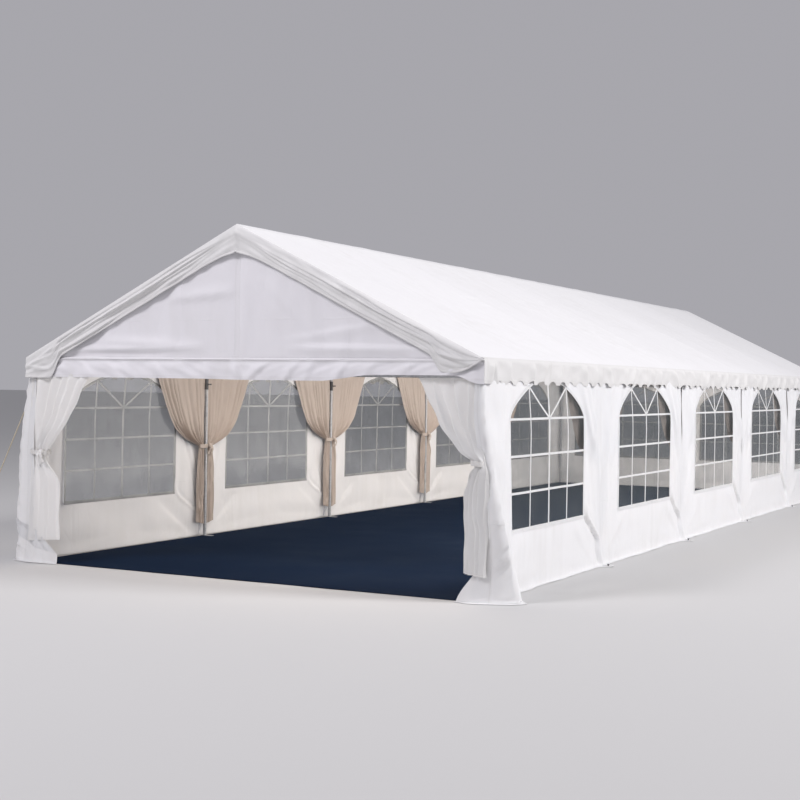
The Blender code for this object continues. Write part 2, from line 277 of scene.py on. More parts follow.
def new_group(name, inputs, outputs):
    """An empty shader node group with its named sockets."""
    group = bpy.data.node_groups.new(name, "ShaderNodeTree")
    for label, kind, value in inputs:
        group.interface.new_socket(label, in_out="INPUT", socket_type=kind).default_value = value
    for label, kind in outputs:
        group.interface.new_socket(label, in_out="OUTPUT", socket_type=kind)
    return group, group.nodes.new("NodeGroupInput").outputs, group.nodes.new("NodeGroupOutput")


def coordinates(tree, kind):
    """UV gives a point's place on the flat cloth in metres, and Object its place in the tent."""
    return tree.nodes.new("ShaderNodeTexCoord").outputs[kind]


def stretched(tree, vector, scale, turn=0.0):
    return add_node(tree, "ShaderNodeMapping", {"Vector": vector, "Scale": scale,
                                                "Rotation": (0, 0, turn)}).outputs[0]


def part_of(tree, vector, label):
    return add_node(tree, "ShaderNodeSeparateXYZ", {"Vector": vector}).outputs[label]


def math_node(tree, operation, first, second=0.0, third=0.0, clamp=False):
    return add_node(tree, "ShaderNodeMath", {0: first, 1: second, 2: third}, operation=operation,
                    use_clamp=clamp).outputs[0]


def layered(tree, layers, total=0.0):
    """Adds up masks or heights, each times its own strength."""
    for value, strength in layers:
        total = math_node(tree, "MULTIPLY_ADD", value, strength, total)
    return total


def map_value(tree, value, low, high, new_low=0.0, new_high=1.0):
    return add_node(tree, "ShaderNodeMapRange", {"Value": value, "From Min": low, "From Max": high,
                                                 "To Min": new_low, "To Max": new_high},
                    interpolation_type="SMOOTHSTEP").outputs["Result"]


def mix_colours(tree, share, first, second):
    return add_node(tree, "ShaderNodeMix", {"Factor": share, "A": first, "B": second},
                    data_type="RGBA").outputs["Result"]


def noise(tree, vector, scale, detail, **settings):
    return add_node(tree, "ShaderNodeTexNoise", {"Vector": vector, "Scale": scale, "Detail": detail,
                                                 **settings}).outputs["Fac"]


def relief(tree, height):
    return add_node(tree, "ShaderNodeBump", {"Height": height, "Distance": 1.0,
                                             "Strength": 1.0}).outputs["Normal"]


# The threads of a plain weave, over and under, from the flat cloth's map.
weave, weave_in, weave_out = new_group(
    "plain_weave", [("Threads", "NodeSocketFloat", 260.0)], [("Height", "NodeSocketFloat")])
flat_map = coordinates(weave, "UV")
threads = []
for way in ("X", "Y"):
    threads.append(add_node(weave, "ShaderNodeTexWave", {"Vector": flat_map, "Scale": weave_in["Threads"]},
                            bands_direction=way).outputs["Fac"])
set_inputs(weave, weave_out, {"Height": math_node(weave, "MAXIMUM", threads[0], threads[1])})

# Faint square creases that stay in cloth from the way it is packed.
creases, creases_in, creases_out = new_group(
    "packing_creases", [("Spacing", "NodeSocketFloat", 0.6)], [("Mask", "NodeSocketFloat")])
flat_map = coordinates(creases, "UV")
wander = add_node(creases, "ShaderNodeTexNoise", {"Vector": flat_map, "Scale": 1.3, "Detail": 2.0})
drift = add_node(creases, "ShaderNodeVectorMath", {0: wander.outputs["Color"], 1: (0.03, 0.03, 0.0)},
                 operation="MULTIPLY").outputs[0]
bent_map = add_node(creases, "ShaderNodeVectorMath", {0: flat_map, 1: drift}, operation="ADD").outputs[0]
half = math_node(creases, "MULTIPLY", creases_in["Spacing"], 0.5)
lines = []
for way in ("X", "Y"):
    off = math_node(creases, "PINGPONG", part_of(creases, bent_map, way), half)
    lines.append(map_value(creases, off, 0.0, 0.012, 1.0, 0.0))
line = math_node(creases, "MAXIMUM", lines[0], lines[1])
wear_and_painted_shade = map_value(creases, noise(creases, flat_map, 2.1, 1.0), 0.42, 0.62)
set_inputs(creases, creases_out, {"Mask": math_node(creases, "MULTIPLY", line, wear_and_painted_shade)})

# Crumpled cloth: flat facets that meet in short straight valleys, in patches.
crumple, crumple_in, crumple_out = new_group(
    "crumpled_cloth", [("Facets", "NodeSocketFloat", 4.0)], [("Height", "NodeSocketFloat")])
flat_map = coordinates(crumple, "UV")
slanting = stretched(crumple, flat_map, (1.0, 0.45, 1.0), 0.6)
facets = add_node(crumple, "ShaderNodeTexVoronoi", {"Vector": slanting, "Scale": crumple_in["Facets"]},
                  feature="DISTANCE_TO_EDGE").outputs["Distance"]
facets = math_node(crumple, "MINIMUM", facets, 0.22)
patchy = map_value(crumple, noise(crumple, flat_map, 1.1, 1.0), 0.42, 0.66)
rumples = layered(crumple, ((noise(crumple, flat_map, 4.5, 2.0), 0.35), (facets, patchy)))
set_inputs(crumple, crumple_out, {"Height": rumples})

# Dust, rain streaks and splashes near the ground, for anything that stands outdoors.
weather, weather_in, weather_out = new_group(
    "outdoor_weather",
    [("Clean", "NodeSocketColor", (0.8, 0.8, 0.8, 1)), ("Dust", "NodeSocketColor", (0.5, 0.5, 0.5, 1)),
     ("Amount", "NodeSocketFloat", 0.2), ("Roughness", "NodeSocketFloat", 0.5)],
    [("Color", "NodeSocketColor"), ("Roughness", "NodeSocketFloat")])
room = coordinates(weather, "Object")
streaks = noise(weather, stretched(weather, room, (3.0, 3.0, 0.45)), 2.4, 4.0)
grime = noise(weather, room, 14.0, 6.0)
near_ground = map_value(weather, part_of(weather, room, "Z"), 0.0, 0.32, 1.0, 0.0)
splash = math_node(weather, "MULTIPLY", near_ground, map_value(weather, grime, 0.35, 0.75, 0.3, 1.0))
soft_dirt = math_node(weather, "MULTIPLY", map_value(weather, noise(weather, room, 0.9, 5.0), 0.35, 0.75),
                      map_value(weather, streaks, 0.35, 0.7))
dirt = layered(weather, ((splash, 0.55),), soft_dirt)
dirt = math_node(weather, "MULTIPLY", dirt, weather_in["Amount"], clamp=True)
rougher = math_node(weather, "MULTIPLY_ADD", grime, 0.18, -0.09)
rougher = math_node(weather, "ADD", rougher, weather_in["Roughness"])
rougher = math_node(weather, "MULTIPLY_ADD", dirt, 0.25, rougher, clamp=True)
dirt_and_painted_shade = mix_colours(weather, dirt, weather_in["Clean"], weather_in["Dust"])
set_inputs(weather, weather_out, {"Color": dirt_and_painted_shade, "Roughness": rougher})

# A doubled and sewn edge: a slightly raised band along each cut edge with a row of stitches in it.
sewn, sewn_in, sewn_out = new_group(
    "sewn_edge", [("Width", "NodeSocketFloat", 0.03)],
    [("Band", "NodeSocketFloat"), ("Stitches", "NodeSocketFloat")])
inward = add_node(sewn, "ShaderNodeAttribute", {}, attribute_name="hem").outputs["Fac"]
band_end = math_node(sewn, "SUBTRACT", inward, sewn_in["Width"])
line_off = math_node(sewn, "ABSOLUTE", math_node(sewn, "ADD", band_end, 0.005))
line = map_value(sewn, line_off, 0.0006, 0.0014, 1.0, 0.0)
flat_map = coordinates(sewn, "UV")
run = math_node(sewn, "ADD", part_of(sewn, flat_map, "X"), part_of(sewn, flat_map, "Y"))
stitch_part = math_node(sewn, "FRACT", math_node(sewn, "DIVIDE", run, 0.005))
stitches = math_node(sewn, "MULTIPLY", line, math_node(sewn, "GREATER_THAN", stitch_part, 0.3))
set_inputs(sewn, sewn_out, {"Band": map_value(sewn, band_end, -0.001, 0.001, 1.0, 0.0),
                            "Stitches": stitches})


def cloth_material(name, clean, amount, roughness, crease_size, crumpled, hem_width, dust=CLOTH_DUST,
                   threads=262.0, weld_spacing=0.0, glow=0.0, facets=3.4):
    """Woven cloth with packing creases, crumples, sewn edges, weather, painted shade where a sheet
    carries it and, if any, welded seams. glow is how much of the light goes through it, and facets
    how many crumples there are in a metre."""
    cloth, tree, shader = new_material(name)

    def use_group(group, values):
        return add_node(tree, "ShaderNodeGroup", values, node_tree=group).outputs

    aged = use_group(weather, {"Clean": clean, "Dust": dust, "Amount": amount, "Roughness": roughness})
    fine = use_group(weave, {"Threads": threads})["Height"]
    packed = use_group(creases, {"Spacing": crease_size})["Mask"]
    rumpled = use_group(crumple, {"Facets": facets})["Height"]
    edge = use_group(sewn, {"Width": hem_width})
    shades = [(edge["Stitches"], 0.25), (edge["Band"], 0.07), (packed, 0.04)]
    heights = [(fine, 0.00012), (packed, 0.0012), (edge["Band"], 0.0008), (edge["Stitches"], -0.0006),
               (rumpled, crumpled)]
    if weld_spacing:
        off = math_node(tree, "PINGPONG", part_of(tree, coordinates(tree, "UV"), "Y"), weld_spacing / 2)
        weld = map_value(tree, off, 0.014, 0.017, 1.0, 0.0)
        shades.append((weld, 0.10))
        heights.append((weld, 0.0010))
    # Painted shade: a number kept on a sheet's points darkens its cloth towards the dust colour.
    wear_and_painted_shade = add_node(tree, "ShaderNodeAttribute", {}, attribute_name="dirt_and_painted_shade").outputs["Fac"]
    shade = math_node(tree, "ADD", wear_and_painted_shade, layered(tree, shades), clamp=True)
    set_inputs(tree, shader, {
        "Base Color": mix_colours(tree, shade, aged["Color"], dust), "Roughness": aged["Roughness"],
        "Normal": relief(tree, layered(tree, heights)), "Specular IOR Level": 0.35,
        "Subsurface Weight": glow, "Subsurface Radius": (1.0, 0.92, 0.85), "Subsurface Scale": 0.012})
    return cloth


roof_cloth = cloth_material("roof_cloth", CLOTH_WHITE, 0.18, 0.46, 0.75, 0.016, 0.03,
                            weld_spacing=WELD_SPACING)

SLOPE_COLUMNS = 35
LENGTH_ROWS = 150
SAG = 0.022
RAFTER_PRESS = 0.006
roof_sheet, across, along = grid_sheet("roof_sheet", 2 * SLOPE_COLUMNS, LENGTH_ROWS)
x = (2 * across - 1) * ROOF_HALF
y = (2 * along - 1) * COVER_END
down_slope = np.abs(2 * across - 1)
inside = np.sin(math.pi * down_slope)
bay_place = ((y - FRAME_YS[0]) / BAY) % 1.0
frame_off = np.minimum(bay_place, 1 - bay_place) * BAY
lift = -SAG * np.sin(math.pi * bay_place) ** 2 * inside ** 0.8
lift += RAFTER_PRESS * hump(frame_off, 0.08) * inside ** 0.3
lift += 0.0030 * uneven(x * 0.25, y, 3, 0.60) * inside
lift += 0.005 * np.abs(uneven(y, x * 0.15, 4, 0.38)) * fade(down_slope, 0.72, 0.93) * (down_slope < 0.995)
lift += 0.004 * np.abs(uneven(y, x * 0.4, 5, 0.7)) * fade(-down_slope, -0.20, -0.03)
lift *= fade(COVER_END - np.abs(y), 0.0, 0.12)
place = (x + np.sign(x) * lift * math.sin(SLOPE_ANGLE), y, roof_height(x) + lift * math.cos(SLOPE_ANGLE))
shape_sheet(roof_sheet, place, x / math.cos(SLOPE_ANGLE), y, COVER_END - np.abs(y) + 0.2)

# Fascia: how far it hangs below the rake, and where its lower edge turns down over each corner.
FASCIA_DROP = 0.215
PEAK_DROP = 0.050
CORNER_LOW = 1.890
CORNER_START = 2.10
CORNER_END = 2.26
DRAPE_X = 2.251
DRAPE_LOW = 1.976
DRAPE_CURVE = 1.22
# Its folds: where each lies on the way down, and how deep it is. Its creases: where each ends, seen
# from the corner that it starts at.
FASCIA_FOLDS = ((0.20, 0.019), (0.40, 0.031), (0.56, 0.021), (0.78, 0.016))
CORNER_CREASES = ((1.80, 0.07), (1.98, 0.17), (2.22, 0.30))
DRAPED_CREASES = ((1.75, 0.10), (1.95, 0.20))
CREASE = 0.016
FASCIA_SEEDS = {-1: 21, 1: 27}
# How much painted shade darkens the fascia's cloth.
FASCIA_PAINTED_SHADE = 0.28
FASCIA_COLUMNS = 240
FASCIA_ROWS = 36


def fascia_low(x, draped):
    """The height of the fascia's lower edge. Both ends turn down over the corners, but a draped
    right end hangs free in a curve that sweeps up to the eave."""
    low = roof_height(x) - FASCIA_DROP - PEAK_DROP * np.exp(-(np.abs(x) / 0.15) ** 1.5)
    corner = low + (CORNER_LOW - low) * fade(np.abs(x), CORNER_START, CORNER_END)
    drape = DRAPE_LOW + DRAPE_CURVE * (x - DRAPE_X) ** 2
    drape = np.minimum(low + (drape - low) * fade(x, 2.04, 2.17), roof_height(x) - 0.012)
    return np.where(draped & (x > 0), drape, corner)


def fascia_stand(x, drop, reach, draped, seed):
    """How far the fascia stands out: long folds with the rake that gather towards the corners and
    the peak, a ridge down the middle, and a rolled lower edge."""
    run = x / math.cos(SLOPE_ANGLE)
    share = drop / reach
    rake = fade(np.abs(x), 0.10, 0.7) * fade(ROOF_HALF - np.abs(x), 0.02, 0.45)
    stand = 0.005 + 0.004 * fade(drop, 0.0, 0.03)
    for line, (centre, size) in enumerate(FASCIA_FOLDS):
        wander = centre + 0.07 * uneven(run, run * 0, seed + line, 1.5)
        wander = wander + (0.30 - wander) * (1 - fade(np.abs(x), 0.0, 0.55)) * 0.7
        depth = 0.65 + 0.6 * uneven(run, run * 0, seed + 5 + line, 1.7)
        off = (share - wander) * FASCIA_DROP
        spread = np.where(off > 0, 0.0085, 0.030)
        stand = stand + size * np.clip(depth, 0.1, 1.2) * hump(off, spread) * (0.25 + 0.75 * rake)
    stand += 0.013 * hump(x, 0.022) * fade(drop, 0.0, 0.08)
    stand += 0.006 * hump(reach - drop - 0.008, 0.008)
    for sign in (-1, 1):
        corner = (sign * (ROOF_HALF - 0.02), 0.10)
        for far_x, far_drop in DRAPED_CREASES if draped and sign > 0 else CORNER_CREASES:
            stand += CREASE * pulled_fold(x, drop, corner, (sign * far_x, far_drop), 0.012)
    stand += 0.0035 * uneven(run, drop * 2.5, seed + 11, 0.33) * fade(drop, 0.0, 0.10)
    stand += 0.0040 * uneven(run * 0.16, drop, seed + 12, 0.075) * fade(drop, 0.0, 0.04)
    return np.clip(stand, 0.003, 0.05)


fascias = []
for end in (-1, 1):
    fascia, across, along = grid_sheet("fascia", FASCIA_COLUMNS, FASCIA_ROWS)
    x = (2 * across - 1) * (ROOF_HALF + CORNER_SEAM)
    draped = end < 0
    reach = roof_height(x) - fascia_low(x, draped)
    drop = (1 - along) * reach
    y = COVER_END + fascia_stand(x, drop, reach, draped, FASCIA_SEEDS[end]) * fade(drop, 0.0, 0.012)
    shape_sheet(fascia, (-end * x, end * y, roof_height(x) - drop), x / math.cos(SLOPE_ANGLE), drop + 0.4,
                np.minimum(reach - drop, drop + 0.05))
    # Both fascias are darkened with painted shade.
    mark(fascia, "dirt_and_painted_shade", FASCIA_PAINTED_SHADE)
    fascias.append(fascia)

# Valance: each scallop is a shallow tongue between two narrow arched notches. A plain piece ends the
# valance at each corner, folded back in a slanting hem.
TONGUE = 0.26
NOTCH = 0.036
NOTCH_SHARE = 0.64
CORNER_PIECE = 0.33
PLAIN_NOTCH = 0.004
VALANCE_FOLDS = 34
FOLD_SPACING = 0.45
VALANCE_OFF = 0.0022
VALANCE_LIFT = 0.0032
VALANCE_SEEDS = {-1: 41, 1: 31}
# How much painted shade darkens the valance's cloth.
VALANCE_PAINTED_SHADE = 0.38
VALANCE_COLUMNS = 10
VALANCE_ROWS = 800


def valance_edge(y):
    """The valance's lower edge: plain beside the corners and scalloped between them."""
    part = ((y + COVER_END - CORNER_PIECE) / TONGUE) % 1.0
    from_middle = (1 - np.abs(2 * part - 1)) / NOTCH_SHARE
    notch = NOTCH * np.clip(1 - from_middle ** 2, 0, 1) ** 0.6
    return VALANCE_LOW + np.where(np.abs(y) < COVER_END - CORNER_PIECE, notch, PLAIN_NOTCH)


def valance_stand(y, drop, seed):
    """How far the valance stands out at a place along it and a drop below the eave."""
    near_end = fade(COVER_END - np.abs(y), 0.0, 0.10)
    hung_out = 0.012 * uneven(y, drop * 1.2, seed, 0.75) * fade(drop, 0.0, 0.14)
    hung_out += 0.006 * uneven(y, drop * 1.5, seed + 1, 0.34)
    draws = np.random.default_rng(seed + 2)
    for fold in range(VALANCE_FOLDS):
        start = -COVER_END + 0.15 + FOLD_SPACING * fold + draws.uniform(-0.12, 0.12)
        lean = draws.uniform(-0.30, 0.30)
        size = draws.uniform(0.018, 0.042)
        near = np.abs(y - start) < 0.6
        hung_out[near] += size * pulled_fold(y[near], drop[near], (start, -0.02), (start + lean, 0.26), 0.027)
    step = np.abs(y) - (COVER_END - CORNER_PIECE + 0.17 - 0.75 * drop)
    hung_out += 0.020 * hump(step, np.where(step > 0, 0.020, 0.09))
    hung_out -= 0.10 * drop
    return near_end * fade(drop, 0.0, 0.06) * hung_out + 0.003 * fade(drop, 0.0, 0.03)


valances = []
for side in (-1, 1):
    valance, across, along = grid_sheet("valance", VALANCE_COLUMNS, VALANCE_ROWS)
    y = (2 * along - 1) * (COVER_END + CORNER_SEAM)
    drop_part = np.clip((across * VALANCE_COLUMNS - 1) / (VALANCE_COLUMNS - 1), 0, 1)
    drop = drop_part * (EAVE_HEIGHT - valance_edge(y))
    on_slope = np.where(across < 0.5 / VALANCE_COLUMNS, SEAM_LAP, 0.0)
    x = ROOF_HALF + VALANCE_OFF + valance_stand(y, drop, VALANCE_SEEDS[side])
    x = x - on_slope * math.cos(SLOPE_ANGLE)
    z = EAVE_HEIGHT + VALANCE_LIFT - drop + on_slope * math.sin(SLOPE_ANGLE)
    hem = np.where(on_slope > 0, 0.0, EAVE_HEIGHT - drop - valance_edge(y))
    shape_sheet(valance, (side * x, side * y, z), drop - on_slope, y, hem)
    # The valances are darkened with painted shade, so that they stay darker than the roof.
    mark(valance, "dirt_and_painted_shade", VALANCE_PAINTED_SHADE)
    valances.append(valance)
roof_sheet = finish_sheet([roof_sheet] + fascias + valances, "roof_sheet", roof_cloth)
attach(roof_sheet, "root")
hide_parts("roof_cover")

# Gables
# A triangle of the same cloth under each roof end, behind the fascia, in two halves with a welded
# seam up the middle. A band of doubled cloth hangs in soft folds from a rolled hem over the way in.
# Both are tinted with a faint lavender painted shade.
GABLE_LOW, GABLE_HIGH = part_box("gable_front")
GABLE_Y = middle_y("gable_front")
GABLE_HALF = GABLE_HIGH[0]
BAND_LOW = GABLE_LOW[2]
BAND_TOP = 2.10
TRIANGLE_LOW = 2.085
TRIANGLE_IN = 0.11
GABLE_TOP_GAP = 0.012
# A faint lavender painted shade is mixed into the gable's white.
GABLE_SHADED_WHITE = (0.85, 0.84, 0.875, 1)
# Each crease pulled into the triangle: its two ends, how deep it is and how wide.
GABLE_CREASES = (((-0.80, 2.655), (-0.01, 2.715), 0.022, 0.024),
                 ((-1.95, 2.175), (-0.35, 2.19), 0.034, 0.022),
                 ((1.95, 2.185), (0.55, 2.20), 0.032, 0.022),
                 ((-1.70, 2.26), (-0.70, 2.235), 0.018, 0.022),
                 ((0.10, 2.95), (0.45, 2.35), 0.010, 0.022),
                 ((0.25, 2.85), (0.85, 2.30), 0.010, 0.022),
                 ((1.60, 2.42), (0.50, 2.26), 0.014, 0.022))
BAND_FOLDS = 15

gable_cloth = cloth_material("gable_cloth", GABLE_SHADED_WHITE, 0.18, 0.50, 0.62, 0.011, 0.03, facets=4.5)

for end, node in ((-1, "gable_front"), (1, "gable_rear")):
    triangle, across, along = grid_sheet("gable_triangle", 110, 34)
    x = (2 * across - 1) * (GABLE_HALF - TRIANGLE_IN)
    top = roof_height(x) - GABLE_TOP_GAP
    z = TRIANGLE_LOW + along * (top - TRIANGLE_LOW)
    out = 0.012 * uneven(x, z * 0.8, 51 + end, 1.1) + 0.006 * uneven(x, z * 0.3, 53 + end, 0.30)
    for start, far_end, size, width in GABLE_CREASES:
        out += size * pulled_fold(x, z, start, far_end, width)
    out += -0.006 * hump(x, 0.026) + 0.004 * hump(x - 0.07, 0.045)
    out = out * fade(top - z, 0.0, 0.10) * fade(z - TRIANGLE_LOW, 0.0, 0.03) - 0.004
    shape_sheet(triangle, (-end * x, end * (-GABLE_Y + out), z), x, z, np.minimum(top - z, np.abs(x)))
    band, across, along = grid_sheet("gable_band", 220, 14)
    x = (2 * across - 1) * (GABLE_HALF - 0.002)
    low = BAND_LOW - 0.006 * fade(x, -0.4, 0.06)
    if end < 0:
        low = low + 0.060 * fade(x, 0.9, 1.5) * (1 - fade(x, 2.27, 2.53)) - 0.010 * fade(x, 2.3, 2.5)
    drop = (1 - along) * (BAND_TOP - low)
    roll = 0.016 * hump(drop - 0.014, 0.012) + 0.010 * fade(drop, 0.03, 0.12)
    folds = 0.008 * uneven(x + drop * 0.8, drop * 0.8, 58 + end, 0.42)
    folds += 0.0045 * uneven(x * 0.5 - drop * 1.2 * np.sign(0.3 - x), drop * 0.6, 59 + end, 0.14)
    draws = np.random.default_rng(61 + end)
    for fold in range(BAND_FOLDS):
        start = -2.35 + 0.33 * fold + draws.uniform(-0.10, 0.10)
        lean = draws.uniform(0.10, 0.30) * (1 if start < 0.3 else -1)
        size = draws.uniform(0.012, 0.028)
        folds += size * pulled_fold(x, drop, (start, 0.0), (start + lean, 0.23), 0.024)
    flat_end = fade(GABLE_HALF - np.abs(x), 0.0, 0.1)
    out = (roll + folds * fade(drop, 0.01, 0.08)) * (0.25 + 0.75 * flat_end)
    shape_sheet(band, (-end * x, end * (-GABLE_Y + 0.002 + out), BAND_TOP - drop), x, BAND_TOP - drop,
                np.minimum(drop, 0.2 - drop))
    gable = finish_sheet([triangle, band], node + "_sheet", gable_cloth)
    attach(gable, "root")
    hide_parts(node)

# Side walls
# One panel of white cloth a bay, hung from the eave tube, with an arched hole for the window. Its foot
# has a short ground flap, pegged at the posts. The front panels turn round the corner legs, and their
# feet are pulled out to a peg of their own.
SIDES = ((-1, "left"), (1, "right"))
WALL_FACE = 2.5323
WALL_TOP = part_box("wall_right_2")[1][2]
CORNER_ROUND = 0.035
CORNER_OUT = 0.0323
WINDOW_HALF = 0.96
WINDOW_SILL = 0.56
WINDOW_SPRING = 1.57
WINDOW_TOP = 1.97
ARCH_ROUNDNESS = 1.5
ARCH_PART = math.radians(52)
ARCH_RUN = 0.62
FLAP = 0.12
WALL_WHITE = (0.86, 0.86, 0.87, 1)
RING_BOTTOM = 60
RING_SIDE = 48
RING_TOP = 44
RING_STEPS = 22
# A bay's panel reaches from LOW_EDGE to HIGH_EDGE. The front panels reach on round the corner leg.
LOW_EDGE = -1.496
HIGH_EDGE = 1.512
REAR_EDGE = 1.594
FRONT_EDGES = {-1: 1.600, 1: 1.590}
FRONT_TURN = 1.515
# The strip round the corner leg widens towards its foot: how far, below what height and how softly.
STRIP_SPREADS = {-1: (0.33, 0.165, 0.07), 1: (0.14, 0.36, 0.36)}
# The foot of each front corner is pulled out: how far near the eave and at the ground, how high the
# pull reaches, and how much of it the part round the corner gets.
FRONT_PULLS = {-1: (0.060, 0.19, 1.95, 0.10), 1: (0.018, 0.310, 1.6, 0.62)}
TIP = 0.16
# How wide a slit is left between two panels under the eave at each post, and how deep the fold is
# that runs from a window's lower corner to the foot of the next post.
POST_SLITS = {-1: (0.0, 0.03, 0.05, 0.05, 0.04, 0.0), 1: (0.0, 0.0, 0.085, 0.085, 0.07, 0.0)}
FOLD_DEPTHS = {-1: 0.5, 1: 1.0}
# Each fold pulled into the cloth beside a window: its two ends, its width and its depth.
WALL_PULLS = (((0.86, 1.98), (1.30, 1.05), 0.034, 0.028), ((1.05, 2.04), (1.46, 0.80), 0.030, 0.025),
              ((1.04, 1.40), (1.40, 0.25), 0.030, 0.025), ((1.30, 2.05), (1.12, 0.95), 0.028, 0.020),
              ((0.70, 0.50), (1.42, 0.03), 0.040, 0.014), ((0.10, 0.16), (1.38, 0.07), 0.034, 0.010))

wall_cloth = cloth_material("wall_cloth", WALL_WHITE, 0.20, 0.50, 0.70, 0.012, 0.035, glow=0.3, facets=6.5)


def arch_point(turn):
    """A place on the arch, from its right foot at no turn over to its left at half a turn."""
    across = np.sign(np.cos(turn)) * np.abs(np.cos(turn)) ** (2 / ARCH_ROUNDNESS)
    up = np.abs(np.sin(turn)) ** (2 / ARCH_ROUNDNESS)
    return WINDOW_HALF * across, WINDOW_SPRING + (WINDOW_TOP - WINDOW_SPRING) * up


def window_ring(name, low_s, high_s, strip_spread=None):
    """A ring of cloth between an arched hole and a panel's edge. Gives the ring, each point's place
    along (s) and up (h) the panel, and its distance from the hole. s is 0 at the hole's middle.
    strip_spread says how far the foot of the low side spreads, below which height and how softly."""
    count = RING_BOTTOM + RING_TOP + 2 * RING_SIDE
    ring, around, outward = grid_sheet(name, count, RING_STEPS)
    step = np.rint(around * count)
    straight_up = WINDOW_SPRING - WINDOW_SILL
    part = np.clip(step / RING_BOTTOM, 0, 1)
    inner_s = -WINDOW_HALF + 2 * WINDOW_HALF * part
    inner_h = np.full_like(part, WINDOW_SILL)
    outer_s = low_s + (high_s - low_s) * (part - 0.60 * np.sin(2 * math.pi * part) / (2 * math.pi))
    outer_h = np.full_like(part, -FLAP)
    top_start = RING_BOTTOM + RING_SIDE
    for sign, start, edge_s in ((1, RING_BOTTOM, high_s), (-1, top_start + RING_TOP, low_s)):
        if sign < 0:
            above = step > top_start
            part = np.clip((step - top_start) / RING_TOP, 0, 1)
            arch_s, arch_h = arch_point(ARCH_PART + part * (math.pi - 2 * ARCH_PART))
            inner_s = np.where(above, arch_s, inner_s)
            inner_h = np.where(above, arch_h, inner_h)
            part = part - 0.4 * np.sin(2 * math.pi * part) / (2 * math.pi)
            outer_s = np.where(above, high_s + (low_s - high_s) * part, outer_s)
            outer_h = np.where(above, WALL_TOP, outer_h)
        here = step > start
        part = np.clip((step - start) / RING_SIDE, 0, 1)
        part = part if sign > 0 else 1 - part
        run = part * (straight_up + ARCH_RUN)
        turn = np.clip((run - straight_up) / ARCH_RUN, 0, 1) * ARCH_PART
        arch_s, arch_h = arch_point(turn)
        inner_s = np.where(here, sign * arch_s, inner_s)
        inner_h = np.where(here, np.where(turn > 0, arch_h, WINDOW_SILL + run), inner_h)
        outer_s = np.where(here, edge_s, outer_s)
        crowded = part - 0.5 * np.sin(math.pi * part) / math.pi
        outer_h = np.where(here, -FLAP + crowded * (WALL_TOP + FLAP), outer_h)
    if strip_spread:
        spread = strip_spread[0] * fade(strip_spread[1] - outer_h, 0.0, strip_spread[2])
        outer_s = outer_s - spread * fade(-outer_s, 1.2, 1.55)
    s = inner_s + (outer_s - inner_s) * outward
    h = inner_h + (outer_h - inner_h) * outward
    return ring, s, h, np.hypot(s - inner_s, h - inner_h), (1 - outward) * 9


def close_ring(ring):
    """Joins the ring's two ends and turns its faces outwards."""
    pick([ring])
    bpy.ops.object.mode_set(mode="EDIT")
    bpy.ops.mesh.select_all(action="SELECT")
    bpy.ops.mesh.remove_doubles(threshold=0.00005)
    bpy.ops.mesh.normals_make_consistent(inside=False)
    bpy.ops.object.mode_set(mode="OBJECT")
    return ring


def wall_line(along_y):
    """The wall's outer face in plan at a distance along the side, turning at both tent corners."""
    front_turn = FRAME_YS[0] - CORNER_OUT + CORNER_ROUND
    rear_turn = FRAME_YS[-1] + CORNER_OUT - CORNER_ROUND
    past_front = np.clip(front_turn - along_y, 0, None)
    past_rear = np.clip(along_y - rear_turn, 0, None)
    past = np.maximum(past_front, past_rear)
    way = np.where(past_front > 0, -1.0, 1.0)
    turn = np.clip(past / CORNER_ROUND, 0, math.pi / 2)
    beyond = np.clip(past - CORNER_ROUND * math.pi / 2, 0, None)
    x = WALL_FACE - CORNER_ROUND + CORNER_ROUND * np.cos(turn) - beyond
    y = np.clip(along_y, front_turn, rear_turn) + way * CORNER_ROUND * np.sin(turn)
    return x, y, np.cos(turn), way * np.sin(turn)


def window_ripple(s, h, seed):
    """How far a wall bellies out between its top and its foot, with its slight waves. The clear
    sheet in the window follows it."""
    belly = 0.036 * fade(WALL_TOP - h, 0.02, 0.70) * (0.45 + 0.55 * fade(1.5 - np.abs(s), 0.0, 0.7))
    belly = belly * (0.35 + 0.65 * fade(h, -0.05, 0.50))
    return belly + 0.004 * uneven(s, h * 0.4, seed, 0.9) + 0.0010 * uneven(s, h * 0.3, seed + 1, 0.35)


def wall_hem(s, h, low_s, high_s, away, from_edge):
    """How far each point lies from the nearest cut edge: hole, sides, top or foot."""
    edge = np.minimum(np.minimum(away, from_edge), np.minimum(s - low_s, high_s - s))
    return np.minimum(edge, np.minimum(WALL_TOP - h, h + FLAP))


